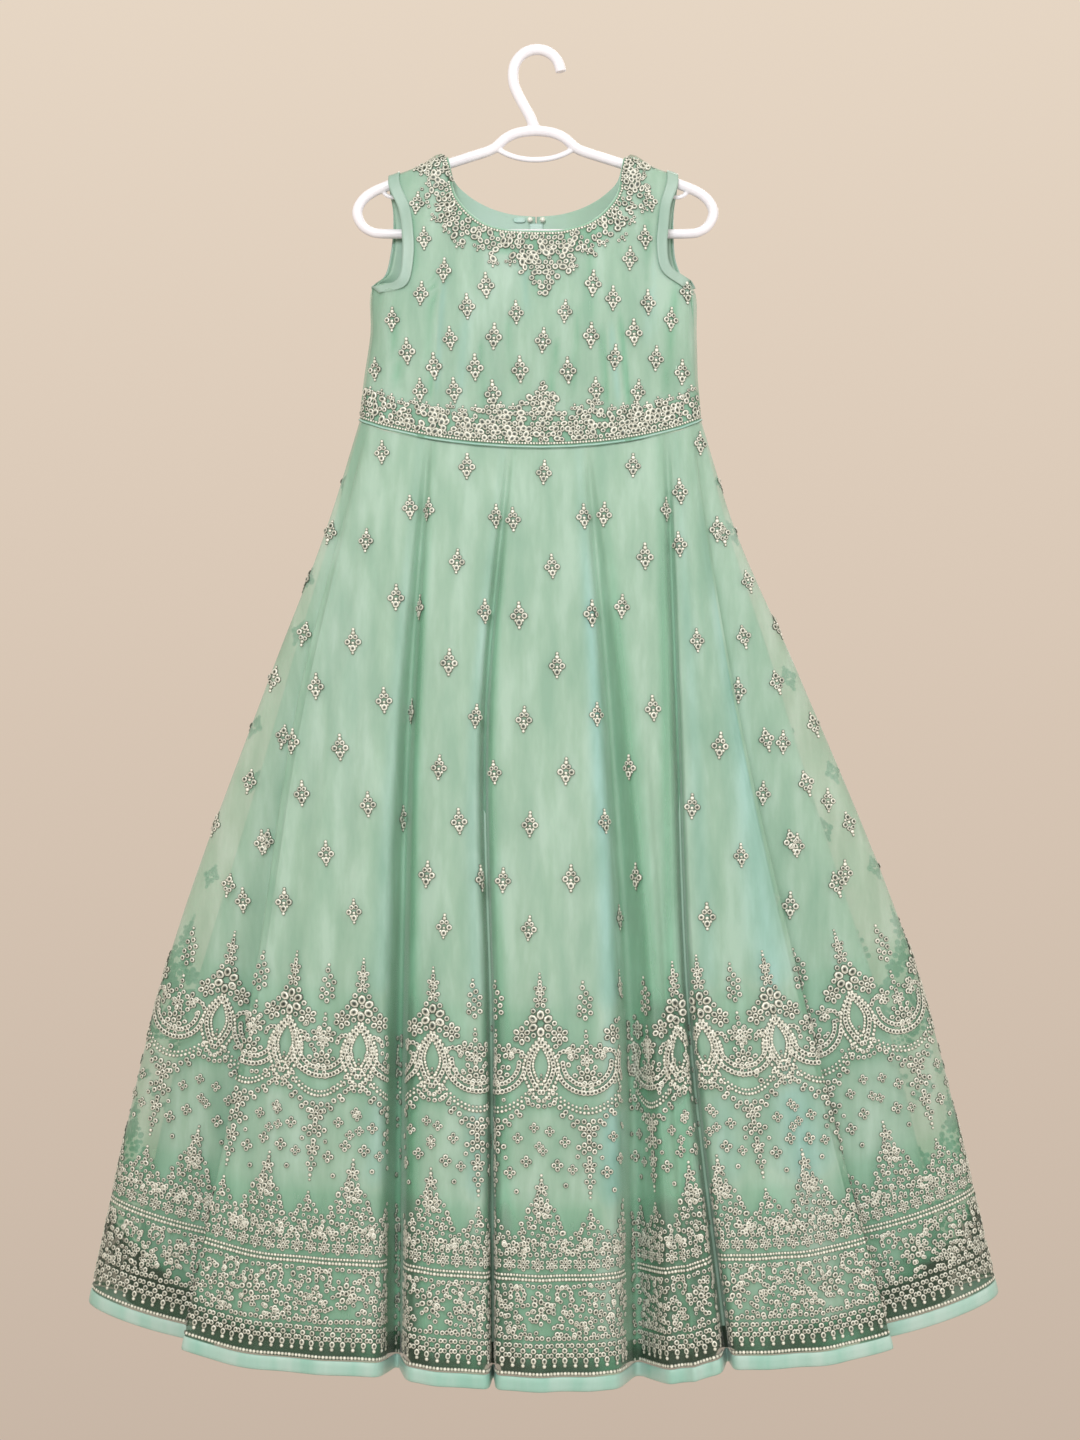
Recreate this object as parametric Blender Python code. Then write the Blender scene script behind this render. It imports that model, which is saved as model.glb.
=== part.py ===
"""A sleeveless floor-length dress with a ten-panel flared skirt, hanging on a tubular plastic hanger.

The origin is the inner top of the hanger's hook. +X is the viewer's right, -Y the front, +Z up.
Sizes in the tables are millimetres, and metres() turns them into Blender's metres.
"""

import math

import bmesh
import bpy
import numpy as np

# Cloth and seams, in millimetres
WALL = 1.5
LINING_WALL = 1.5
TRIM_WALL = 1.0
BINDING_WALL = 1.9
SEAM_GAP = 0.3
BACK_OPENING_GAP = 1.6

# Faces of the bodice's layers: radius round the hanger's arm, and distance inside the overlay's outer face
FACES = {
    "trim_far": (10.9, -1.75),
    "trim_near": (9.7, -0.45),
    "overlay_outer": (9.3, 0.0),
    "overlay_inner": (7.9, 1.5),
    "lining_outer": (7.5, 3.0),
    "lining_inner": (6.1, 4.5),
    "closure": (5.7, 4.9),
}

# Hanger, in millimetres
TUBE_RADIUS = 5.25
TUBE_SIDES = 8
HOOK_RADIUS = 27.5
BRACE_RADIUS = 3.2
STRAP_HOOK_RADIUS = 2.4
HANGER_MIDDLE_X = -2.0

# Right half of the hanger's frame: distance from its middle, and height, of the tube's centre line
HANGER_HALF = (
    ("arch_top", 0.0, -87.2),
    ("arch_shoulder", 20.0, -89.5),
    ("arch_side", 34.5, -96.2),
    ("arch_foot", 45.5, -106.0),
    ("arm_root", 56.0, -111.2),
    ("arm_inner", 74.0, -117.0),
    ("arm_middle", 99.0, -125.0),
    ("arm_outer", 132.0, -136.5),
    ("arm_shoulder", 163.5, -148.0),
    ("arm_end", 186.0, -157.5),
    ("corner_top", 199.0, -168.0),
    ("corner_side", 204.3, -181.0),
    ("corner_low", 199.5, -194.5),
    ("bar_bend", 188.0, -203.0),
    ("bar_end", 166.0, -205.4),
    ("bar_quarter", 84.0, -205.4),
)

# Body of the dress: half widths left and right of its middle, and depths in front and behind
MIDDLE_X = 5.0
MIDDLE_Y = -4.0
FRONT_FULLNESS = 0.83
BACK_FULLNESS = 0.7
BODICE_SIZES = (
    # height, left, right, front, back
    (-421.0, 209.0, 184.0, 34.0, 26.0),
    (-386.0, 206.0, 181.0, 35.0, 25.0),
    (-350.0, 200.0, 179.0, 38.0, 25.0),
    (-312.0, 195.5, 178.0, 40.0, 26.0),
    (-268.0, 194.0, 177.0, 36.0, 26.0),
    (-200.0, 192.0, 175.0, 30.0, 24.0),
    (-143.0, 190.0, 173.0, 24.0, 20.0),
)
WAIST_SIDE_Z = -421.0
WAIST_DIP_FRONT = 35.0
WAIST_DIP_BACK = 25.0
WAIST_DIP_SHAPE = 1.6

# Neck, as half of an oval in front and behind
NECK_MIDDLE_X = -1.2
NECK_HALF_WIDTH = 102.0
NECK_TOP_Z = -119.0
NECK_DEPTH_FRONT = 89.5
NECK_DEPTH_BACK = 63.5
NECK_SHAPE_FRONT = 3.0
NECK_SHAPE_BACK = 2.0

# How the straps curve over the hanger's arms
SHOULDER_BLEND = 75.0
SHOULDER_STEPS = (0.5, 1.0)
NECK_EDGE_HEIGHT = 9.0

# Armhole edges from the underarm up to the hanger's arm: distance across, height, and face of the body
ARMHOLES = {
    "front_left": ((-188.0, -268.0, 0), (-168.0, -268.5, 0), (-156.0, -259.0, 0), (-152.5, -238.0, 0),
                   (-153.5, -203.0, 0), (-160.0, -172.0, 0)),
    "front_right": ((174.0, -262.0, 0), (161.0, -258.5, 0), (150.5, -246.0, 0), (147.3, -227.0, 0),
                    (149.0, -200.0, 0), (154.0, -168.0, 0)),
    "back_left": ((-188.0, -268.0, 0), (-184.0, -263.0, 1), (-174.0, -251.0, 1), (-167.5, -225.0, 1),
                  (-165.0, -197.0, 1), (-166.0, -172.0, 1)),
    "back_right": ((174.0, -262.0, 0), (176.0, -261.0, 1), (164.0, -251.0, 1), (158.0, -228.0, 1),
                   (156.5, -200.0, 1), (158.0, -168.0, 1)),
}
UNDERARM_SHARE = 0.45
ARMHOLE_STRIP_WIDTH = 12.0

# Strap columns from the armhole inwards: angle at the waist, x at the arm, and how far round the arm they reach
STRAP_ANGLES = (90.0, 76.0, 60.0, 38.0, 37.0, 36.0)
STRAP_X = {"left": (-170.0, -157.5, -137.5, -104.0, -101.8, -100.5),
           "right": (161.5, 149.0, 134.0, 101.6, 99.4, 98.1)}
STRAP_TURNS = (90.0, 90.0, 90.0, 90.0, 45.0, 0.0)
NECK_WAIST_ANGLE = 36.0
NECK_SHARES = (0.2, 0.4, 0.58, 0.74)
EDGE_REACH = math.radians(45.0)
BODICE_ROWS = (0.0, 0.02, 0.13, 0.29, 0.45, 0.58, 0.68, 0.78, 0.88, 1.0)
WAIST_BAND_ROWS = slice(1, 3)
NECK_BAND_FIRST_ROW = 8
ARMHOLE_FIRST_ROW = 4

# Skirt: sizes at the waist, hip, knee and hem, which lie at these shares of its length
SKIRT_LENGTH = 1043.0
SKIRT_SIDE_EXTRA = 14.0
WAIST_SLACK = 0.4
LINING_SLACK = 1.5
BINDING_HEIGHT = 14.0
LEVELS = (0.0, 0.29, 0.63, 1.0)
SIZE_LEVELS = (0.0, 0.115, 0.29, 0.63, 1.0)
SKIRT_SIZES = {
    "left": (209.0, 245.0, 311.0, 432.0, 520.0),
    "right": (184.0, 220.0, 294.0, 428.0, 525.0),
    "front": (34.0, 46.0, 62.0, 98.0, 138.0),
    "back": (26.0, 28.0, 31.0, 36.0, 40.0),
    "middle": (-4.0, -2.8, -1.0, 3.0, 6.0),
}
PANEL_CROWN = 6.0
FOLD_GROWTH = 0.8
FOLD_AT_WAIST = 10.0

# One fold for each panel seam. x is the seam at the four levels, mouth its width at the hip and hem, depth how far
# the cloth goes in, lean how far the bottom of the fold slips sideways, and the drops set the left or right
# lip further back than the other, all at the hem.
FOLD_COLUMNS = ("x", "mouth", "depth", "lean", "drop_left", "drop_right")
FRONT_FOLDS = (
    ((-196.0, -266.0, -314.0, -384.5), (-8.0, -30.0), 27.0, 22.0, 46.0, 0.0),
    ((-123.0, -145.0, -155.0, -158.0), (20.0, 30.0), 66.0, 2.0, 0.0, 0.0),
    ((-31.0, -58.0, -51.5, -48.5), (10.0, 7.0), 64.0, 0.0, 0.0, 0.0),
    ((57.0, 84.0, 107.0, 116.0), (24.0, 52.0), 62.0, -4.0, 0.0, 6.0),
    ((147.0, 156.0, 168.0, 209.5), (8.0, 12.0), 58.0, 4.0, 0.0, 0.0),
    ((180.0, 221.0, 293.0, 384.5), (-8.0, -30.0), 27.0, -22.0, 0.0, 46.0),
)
BACK_FOLDS = (
    ((118.0, 176.0, 256.0, 332.0), (12.0, 18.0), 27.0, 6.0, 0.0, 0.0),
    ((42.0, 60.0, 94.0, 121.0), (10.0, 14.0), 24.0, -4.0, 0.0, 0.0),
    ((-36.0, -57.0, -84.0, -109.0), (12.0, 20.0), 26.0, 3.0, 0.0, 0.0),
    ((-116.0, -180.0, -264.0, -341.0), (10.0, 16.0), 25.0, -6.0, 0.0, 0.0),
)
FRONT_PANEL_POINTS = (3, 1, 2, 2, 3)
BACK_PANEL_POINTS = (2, 2, 2)
SIDE_SHARES = (0.3, 0.6, 0.85, 1.0)
SKIRT_ROWS = (0.0, 0.05, 0.12, 0.2, 0.3, 0.42, 0.56, 0.7, 0.85, 1.0)

# Lining of the skirt: how far it lies inside the overlay, and how much shorter it is
LINING_INSET_WAIST = 3.0
LINING_INSET_HEM = 8.0
LINING_SIDE_INSET = {"left": 36.0, "right": 48.0}
LINING_SIDE_SHAPE = 9
LINING_SIDE_LEVEL = 0.6
LINING_HEM_SHAPES = {"front": 6, "back": 12}
LINING_SHORT = {"front": 42.0, "back": 20.0, "side": 115.0}
LINING_LAST_LEVEL = 0.93
LINING_SHARPEST = 0.25
LINING_FOLD_SLIP = 0.6
LINING_FOLD_SPREAD = 0.8
SHARPEST_MITER = 0.45

# Waist piping and neck closure
PIPING_RADIUS = 1.4
PIPING_CLEARANCE = 0.45
PLACKET_HALF_WIDTH = 8.0
PLACKET_START = 7.0
PLACKET_LENGTH = 150.0
BUTTON_RADIUS = 3.2
BUTTON_X = {"left": -7.5, "right": 7.5}
TAB_SPAN = (-27.0, -12.5)
TAB_HEIGHT = 6.0

COLOURS = {
    # base colour, roughness
    "net": ((0.46, 0.70, 0.56), 0.55),
    "lining": ((0.38, 0.66, 0.51), 0.42),
    "satin": ((0.42, 0.75, 0.63), 0.3),
    "embroidery": ((0.78, 0.76, 0.68), 0.35),
    "plastic": ((0.86, 0.84, 0.88), 0.35),
    "bead": ((0.75, 0.73, 0.66), 0.25),
}


def metres(points):
    return np.asarray(points, float) * 0.001


def clear_scene():
    for obj in list(bpy.data.objects):
        bpy.data.objects.remove(obj, do_unlink=True)


def material(name):
    found = bpy.data.materials.get(name)
    if found:
        return found
    colour, roughness = COLOURS[name]
    made = bpy.data.materials.new(name)
    made.use_nodes = True
    shader = made.node_tree.nodes["Principled BSDF"]
    shader.inputs["Base Color"].default_value = (*colour, 1.0)
    shader.inputs["Roughness"].default_value = roughness
    made.diffuse_color = (*colour, 1.0)
    return made


def add_object(name, vertices, faces, material_name, parent=None):
    """A mesh object from points in millimetres, with its faces turned outwards."""
    mesh = bpy.data.meshes.new(name)
    mesh.from_pydata([tuple(p) for p in metres(vertices)], [], faces)
    shape = bmesh.new()
    shape.from_mesh(mesh)
    bmesh.ops.recalc_face_normals(shape, faces=shape.faces)
    if shape.calc_volume(signed=True) < 0:
        bmesh.ops.reverse_faces(shape, faces=shape.faces)
    shape.to_mesh(mesh)
    shape.free()
    mesh.materials.append(material(material_name))
    mesh.shade_smooth()
    mesh.set_sharp_from_angle(angle=math.radians(50))
    obj = bpy.data.objects.new(name, mesh)
    obj.parent = parent
    bpy.context.collection.objects.link(obj)
    return obj


def unit(vectors):
    return vectors / np.linalg.norm(vectors, axis=-1, keepdims=True)


def smooth_step(value):
    value = np.clip(value, 0.0, 1.0)
    return value * value * (3.0 - 2.0 * value)


def smooth_between(at, places, values):
    """Cubic Hermite curve through the values, with slopes taken from their neighbours."""
    places = np.asarray(places, float)
    values = np.asarray(values, float)
    slopes = np.gradient(values, places)
    index = int(np.clip(np.searchsorted(places, at, side="right") - 1, 0, len(places) - 2))
    span = places[index + 1] - places[index]
    share = (at - places[index]) / span
    start, end = values[index], values[index + 1]
    lift = (end - start) * share * share * (3.0 - 2.0 * share)
    bend_start = slopes[index] * span * share * (1.0 - share) ** 2
    bend_end = -slopes[index + 1] * span * share * share * (1.0 - share)
    return start + lift + bend_start + bend_end


def catmull_rom(points, steps, closed=False):
    """Points along a smooth curve through the given ones."""
    points = np.asarray(points, float)
    count = len(points)
    made = []
    for i in range(count if closed else count - 1):
        if closed:
            a, b, c, d = (points[(i + k) % count] for k in (-1, 0, 1, 2))
        else:
            a, b, c, d = (points[min(max(i + k, 0), count - 1)] for k in (-1, 0, 1, 2))
        for share in np.arange(steps) / steps:
            square, cube = share**2, share**3
            made.append(0.5 * (2 * b + (c - a) * share + (2 * a - 5 * b + 4 * c - d) * square
                               + (3 * b - a - 3 * c + d) * cube))
    if not closed:
        made.append(points[-1])
    return np.array(made)


def wall(name, outer, inner, material_name, parent, closed=False):
    """A closed wall between two grids of points, which are columns by rows."""
    columns, rows = outer.shape[:2]
    vertices = np.concatenate([outer.reshape(-1, 3), inner.reshape(-1, 3)])
    half = columns * rows

    def at(column, row, side):
        return side * half + (column % columns) * rows + row

    faces = []
    spans = columns if closed else columns - 1
    for i in range(spans):
        for j in range(rows - 1):
            faces.append((at(i, j, 0), at(i, j + 1, 0), at(i + 1, j + 1, 0)))
            faces.append((at(i, j, 0), at(i + 1, j + 1, 0), at(i + 1, j, 0)))
            faces.append((at(i, j, 1), at(i + 1, j + 1, 1), at(i, j + 1, 1)))
            faces.append((at(i, j, 1), at(i + 1, j, 1), at(i + 1, j + 1, 1)))
        for j in (0, rows - 1):
            rim = (at(i, j, 0), at(i + 1, j, 0), at(i + 1, j, 1), at(i, j, 1))
            faces.append(rim if j == 0 else rim[::-1])
    if not closed:
        for i in (0, columns - 1):
            for j in range(rows - 1):
                rim = (at(i, j, 0), at(i, j, 1), at(i, j + 1, 1), at(i, j + 1, 0))
                faces.append(rim if i == 0 else rim[::-1])
    return add_object(name, vertices, faces, material_name, parent)


def tube(name, path, radius, sides, material_name, parent=None, closed=False):
    """A round tube along a path that lies in the hanger's plane."""
    path = np.asarray(path, float)
    if closed:
        along = np.roll(path, -1, axis=0) - np.roll(path, 1, axis=0)
    else:
        along = np.gradient(path, axis=0)
    along /= np.linalg.norm(along, axis=1, keepdims=True)
    depth = np.array([0.0, 1.0, 0.0])
    across = np.cross(along, depth)
    vertices = []
    for centre, side in zip(path, across):
        for k in range(sides):
            angle = 2 * math.pi * k / sides
            vertices.append(centre + radius * (math.cos(angle) * side + math.sin(angle) * depth))
    faces = []
    count = len(path)
    for i in range(count if closed else count - 1):
        a, b = i * sides, (i + 1) % count * sides
        for k in range(sides):
            n = (k + 1) % sides
            faces.append((a + k, a + n, b + n, b + k))
    if not closed:
        faces.append(tuple(range(sides)))
        faces.append(tuple(range((count - 1) * sides, count * sides)))
    return add_object(name, vertices, faces, material_name, parent)


# Hanger

def hanger_frame_path():
    half = [(HANGER_MIDDLE_X + x, 0.0, z) for _, x, z in HANGER_HALF]
    other = [(HANGER_MIDDLE_X - x, 0.0, z) for _, x, z in reversed(HANGER_HALF[1:])]
    bar_middle = [(HANGER_MIDDLE_X, 0.0, HANGER_HALF[-1][2])]
    return catmull_rom(half + bar_middle + other, 2, closed=True)


def hanger_hook_path():
    """From the open tip, over the nail and down the shank into the arch."""
    top = TUBE_RADIUS
    centre_z = top - HOOK_RADIUS
    arc = []
    for degrees in range(4, 181, 22):
        angle = math.radians(degrees)
        arc.append((HOOK_RADIUS * math.cos(angle), 0.0, centre_z + HOOK_RADIUS * math.sin(angle)))
    shank = [(-26.0, 0.0, -36.0), (-18.0, 0.0, -53.0), (-8.5, 0.0, -70.0), (HANGER_MIDDLE_X, 0.0, -86.0)]
    return catmull_rom(arc + shank, 2)


def brace_path():
    ends_x, ends_z, dip_z = 45.0, -107.5, -120.3
    points = []
    for share in np.linspace(-1.0, 1.0, 9):
        z = dip_z + (ends_z - dip_z) * abs(share) ** 2.2
        points.append((HANGER_MIDDLE_X + ends_x * share, 0.0, z))
    return points


def strap_hook_path(side):
    points = ((176.0, -155.0), (171.0, -161.0), (163.0, -163.5), (155.0, -162.0))
    return catmull_rom([(HANGER_MIDDLE_X + side * x, 0.0, z) for x, z in points], 2)


def make_hanger(parent):
    frame = tube("hanger", hanger_frame_path(), TUBE_RADIUS, TUBE_SIDES, "plastic", parent, closed=True)
    pieces = [
        tube("hook_shape", hanger_hook_path(), TUBE_RADIUS, TUBE_SIDES, "plastic"),
        tube("brace_shape", brace_path(), BRACE_RADIUS, 8, "plastic"),
        tube("left_strap_hook_shape", strap_hook_path(-1), STRAP_HOOK_RADIUS, 6, "plastic"),
        tube("right_strap_hook_shape", strap_hook_path(1), STRAP_HOOK_RADIUS, 6, "plastic"),
    ]
    for piece in pieces:
        piece.hide_render = True
        piece.display_type = "WIRE"
        join = frame.modifiers.new("join_" + piece.name, "BOOLEAN")
        join.operation = "UNION"
        join.object = piece
    return frame


def arm_height(x):
    """Height of the centre line of the hanger's arm under a strap."""
    distances = [row[1] for row in HANGER_HALF[4:10]]
    heights = [row[2] for row in HANGER_HALF[4:10]]
    return float(np.interp(abs(x - HANGER_MIDDLE_X), distances, heights))


# Bodice

def bodice_size(z):
    heights = [row[0] for row in BODICE_SIZES]
    return [float(np.interp(z, heights, [row[k] for row in BODICE_SIZES])) for k in range(1, 5)]


def section_point(angle, left, right, front, back):
    """A point of a rounded flat ring; angle 0 is the middle of the front and 180 the middle of the back."""
    across, ahead = math.sin(angle), math.cos(angle)
    x = MIDDLE_X + across * (right if across > 0 else left)
    if ahead >= 0:
        return x, MIDDLE_Y - front * ahead**FRONT_FULLNESS
    return x, MIDDLE_Y + back * (-ahead) ** BACK_FULLNESS


def bodice_point(place, face):
    """A point of one face. A place is an angle, a height, and the turn round the hanger's arm or None below it."""
    angle, z, turn = place
    arm_radius, inset = FACES[face]
    sizes = bodice_size(z)
    x = section_point(angle, *sizes)[0]
    side = -1.0 if math.cos(angle) >= 0 else 1.0
    if turn is not None:
        steepness = math.hypot(1.0, (arm_height(x + 1.0) - arm_height(x - 1.0)) / 2)
        rise = arm_radius * steepness * math.sin(math.radians(turn))
        return np.array([x, side * arm_radius * math.cos(math.radians(turn)), arm_height(x) + rise])
    share = float(smooth_step((arm_height(x) - z) / SHOULDER_BLEND))
    body_x, body_y = section_point(angle, *[size - inset for size in sizes])
    return np.array([x + (body_x - x) * share, side * arm_radius * (1.0 - share) + body_y * share, z])


def face_grid(places, face):
    return np.array([[bodice_point(place, face) for place in column] for column in places])


def angle_at(x, z, behind, sign):
    """Angle of the section point at x, in front, or behind on the piece on that side of the back."""
    left, right = bodice_size(z)[:2]
    share = (x - MIDDLE_X) / (right if x > MIDDLE_X else left)
    angle = math.asin(max(-1.0, min(1.0, share)))
    return sign * math.pi - angle if behind else angle


def neck_swing(share):
    return math.sin(share * math.pi / 2)


def waist_sines():
    """Sines of the angles of all columns at the waist; the waist seam is straight between them."""
    strap = [math.sin(math.radians(angle)) for angle in sorted(STRAP_ANGLES)]
    return [0.0] + [math.sin(math.radians(NECK_WAIST_ANGLE)) * neck_swing(share) for share in NECK_SHARES] + strap


WAIST_SINES = waist_sines()


def waist_seam(sine, behind):
    """Height of the waist seam at a share of the half width."""
    dip = WAIST_DIP_BACK if behind else WAIST_DIP_FRONT
    drops = [dip * (1.0 - s * s) ** (WAIST_DIP_SHAPE / 2) for s in WAIST_SINES]
    return WAIST_SIDE_Z - float(np.interp(min(1.0, abs(sine)), WAIST_SINES, drops))


def waist_height(angle):
    return waist_seam(math.sin(angle), math.cos(angle) < 0)


def neck_height(x, behind):
    share = min(1.0, abs(x - NECK_MIDDLE_X) / NECK_HALF_WIDTH)
    depth, shape = (NECK_DEPTH_BACK, NECK_SHAPE_BACK) if behind else (NECK_DEPTH_FRONT, NECK_SHAPE_FRONT)
    return NECK_TOP_Z - depth * math.sqrt(1.0 - share**shape)


def strap_columns(side, behind):
    """(angle at the waist, x and height at the top, turn round the arm) for the strap's columns, armhole first."""
    sign = -1.0 if side == "left" else 1.0
    made = []
    for index, (degrees, x, turn) in enumerate(zip(STRAP_ANGLES, STRAP_X[side], STRAP_TURNS)):
        angle = sign * math.radians(degrees)
        if behind and index:
            angle = sign * math.pi - angle
        made.append((angle, x, arm_height(x) - NECK_EDGE_HEIGHT * (1.0 - turn / 90.0), turn))
    return made


def neck_columns(swings, behind, sign):
    """The same for the columns that end below the neck edge; swings run from -1 at its left end to 1."""
    made = []
    for swing in swings:
        x = NECK_MIDDLE_X + NECK_HALF_WIDTH * swing
        angle = math.asin(math.sin(math.radians(NECK_WAIST_ANGLE)) * swing)
        if behind:
            angle = sign * math.pi - angle
        made.append((angle, x, neck_height(x, behind) - NECK_EDGE_HEIGHT, None))
    return made


def armhole_edge(side, behind, beside):
    """(angle, height) up the side seam and the armhole for each row, and for the column beside it."""
    sign = -1.0 if side == "left" else 1.0
    hand = -sign if not behind else sign
    table = ARMHOLES[("back_" if behind else "front_") + side]
    corners = [(angle_at(x, z, on_back, sign), z) for x, z, on_back in table]
    shoulder_x = STRAP_X[side][0]
    corners.append((angle_at(shoulder_x, arm_height(shoulder_x), behind, sign), arm_height(shoulder_x)))
    seam_angle = sign * math.radians(STRAP_ANGLES[0])
    seam_start = np.array((seam_angle, waist_height(seam_angle)))
    curve = catmull_rom(corners, 8)
    spread = np.hypot(185.0 * np.cos(curve[:, 0]), 32.0 * np.sin(curve[:, 0]))
    steps = np.hypot(np.diff(curve[:, 0]) * spread[1:], np.diff(curve[:, 1]))
    distances = np.concatenate([[0.0], np.cumsum(steps)]) / steps.sum()
    slopes = np.gradient(curve, axis=0) * np.stack([spread, np.ones(len(curve))], axis=1)
    edge, inner = [], []
    for j, row in enumerate(BODICE_ROWS):
        share = max(0.0, (row - UNDERARM_SHARE) / (1.0 - UNDERARM_SHARE))
        point = np.array([np.interp(share, distances, curve[:, k]) for k in (0, 1)])
        slope = np.array([np.interp(share, distances, slopes[:, k]) for k in (0, 1)])
        width = np.interp(share, distances, spread)
        away = unit(np.array([slope[1], -slope[0]]) * hand)
        if share == 0.0:
            away = unit(np.array([hand, -1.0]))
        inward = point + away * ARMHOLE_STRIP_WIDTH / np.array([width, 1.0])
        below = min(1.0, row / UNDERARM_SHARE)
        edge.append(seam_start + (point - seam_start) * below)
        inner.append((inward - beside(UNDERARM_SHARE)) * below if share == 0.0 else inward - beside(row))
    inner[-1] = np.zeros(2)
    return edge, inner


def bodice_places(columns, edges, behind, sign):
    """Places of a panel between the waist, its two edges, the neck and the shoulders, then over the hanger's arm.

    edges gives for either end the side whose armhole it runs up, or None for a straight edge.
    """
    waist = [np.array((column[0], waist_height(column[0]))) for column in columns]
    top = [np.array((angle_at(x, z, behind, sign), z)) for _, x, z, _ in columns]

    def upwards(i, v):
        return waist[i] * (1 - v) + top[i] * v

    armholes = []
    for end, beside, side in ((0, 1, edges[0]), (len(columns) - 1, len(columns) - 2, edges[1])):
        if side:
            edge, inner = armhole_edge(side, behind, lambda v, i=beside: upwards(i, v))
            armholes.append((end, beside, edge, inner))
    places = []
    for i, (_, x, top_z, reach) in enumerate(columns):
        line = []
        for j, v in enumerate(BODICE_ROWS):
            place = upwards(i, v)
            for end, beside, edge, inner in armholes:
                near = max(0.0, 1.0 - abs(waist[i][0] - waist[beside][0]) / EDGE_REACH)
                place = edge[j] if i == end else place + inner[j] * near
            line.append((place[0], place[1] + (SEAM_GAP / 2 if j == 0 else 0.0), None))
        for step in SHOULDER_STEPS:
            if reach:
                line.append((*top[i], step * reach))
            else:
                z = top_z + NECK_EDGE_HEIGHT * step
                line.append((angle_at(x, z, behind, sign), z, None))
        places.append(line)
    return places


def front_places():
    swings = [neck_swing(share) for share in NECK_SHARES]
    inner = neck_columns([-swing for swing in swings[::-1]] + [0.0] + swings, False, 1.0)
    columns = strap_columns("left", False) + inner + strap_columns("right", False)[::-1]
    return bodice_places(columns, ("left", "right"), False, 1.0)


def back_places(side):
    """One half of the back, from the middle opening to the side seam."""
    sign = -1.0 if side == "left" else 1.0
    opening = BACK_OPENING_GAP / 2 / NECK_HALF_WIDTH
    inner = neck_columns([sign * swing for swing in [opening] + [neck_swing(s) for s in NECK_SHARES]], True, sign)
    return bodice_places(inner + strap_columns(side, True)[::-1], (None, side), True, sign)


def make_layer(name, places, faces, seam_columns, material_name, parent, columns=slice(None), rows=slice(None)):
    """A wall between two faces of the same places, with its side seams and shoulder drawn in by half a gap."""
    grids = []
    for face in faces:
        grid = face_grid(places, face)
        for edge, beside in seam_columns:
            grid[edge] += unit(grid[beside] - grid[edge]) * SEAM_GAP / 2
        grid[:, -1] += unit(grid[:, -2] - grid[:, -1]) * SEAM_GAP / 2
        grids.append(grid[columns, rows])
    return wall(name, *grids, material_name, parent)


def make_bodice_side(name, places, seam_columns, parent):
    make_layer("bodice_" + name, places, ("overlay_outer", "overlay_inner"), seam_columns, "net", parent)
    make_layer("bodice_lining_" + name, places, ("lining_outer", "lining_inner"), seam_columns, "lining", parent)
    trim = ("trim_far", "trim_near")
    count = len(places)
    top_rows, arm_rows = slice(NECK_BAND_FIRST_ROW, None), slice(ARMHOLE_FIRST_ROW, None)
    first = 2 if name == "front" else 0
    make_layer("neck_band_" + name, places, trim, seam_columns, "embroidery", parent,
               slice(first, count - 2), top_rows)
    make_layer("waist_band_" + name, places, trim, seam_columns, "embroidery", parent, rows=WAIST_BAND_ROWS)
    if name == "front":
        make_layer("armhole_strip_front_left", places, trim, seam_columns, "satin", parent, slice(0, 2), arm_rows)
        name = "front_right"
    make_layer("armhole_strip_" + name, places, trim, seam_columns, "satin", parent, slice(count - 2, count), arm_rows)


def make_bodice(parent):
    make_bodice_side("front", front_places(), ((0, 1), (-1, -2)), parent)
    for side in ("left", "right"):
        make_bodice_side("back_" + side, back_places(side), ((-1, -2),), parent)


# Skirt

def skirt_size(name, level):
    return smooth_between(level, SIZE_LEVELS, SKIRT_SIZES[name])


def envelope_y(x, level, behind):
    """Where the unfolded skirt lies at x, in front or behind."""
    side = skirt_size("right" if x > MIDDLE_X else "left", level)
    share = min(1.0, abs(x - MIDDLE_X) / side)
    ahead = math.sqrt(1.0 - share**2)
    if behind:
        return skirt_size("middle", level) + skirt_size("back", level) * ahead**BACK_FULLNESS
    return skirt_size("middle", level) - skirt_size("front", level) * ahead**FRONT_FULLNESS


def fold_corners(fold, level, behind):
    """The first lip, the bottom and the last lip of a fold, in the order the ring runs."""
    row = dict(zip(FOLD_COLUMNS, fold))
    grown = level**FOLD_GROWTH
    turn = -1.0 if behind else 1.0
    x = smooth_between(level, LEVELS, row["x"])
    mouth = smooth_between(level, (LEVELS[0], LEVELS[1], LEVELS[3]), (FOLD_AT_WAIST,) + row["mouth"])
    first_x, last_x = x - turn * mouth / 2, x + turn * mouth / 2
    first = np.array([first_x, envelope_y(first_x, level, behind) + row["drop_left"] * grown])
    last = np.array([last_x, envelope_y(last_x, level, behind) + row["drop_right"] * grown])
    bottom_y = envelope_y(x, level, behind) + turn * row["depth"] * grown
    return first, np.array([x + row["lean"] * grown, bottom_y]), last


def across_panel(start, end, start_drop, end_drop, count, level, behind):
    """Points of a panel between two folds, slightly crowned."""
    outward_sign = 1.0 if behind else -1.0
    grown = level**FOLD_GROWTH
    made = []
    for k in range(1, count + 1):
        share = k / (count + 1)
        x = start[0] + (end[0] - start[0]) * share
        drop = (start_drop + (end_drop - start_drop) * share) * grown
        crown = PANEL_CROWN * grown * math.sin(math.pi * share)
        made.append(np.array([x, envelope_y(x, level, behind) + drop + outward_sign * crown]))
    return made


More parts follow.
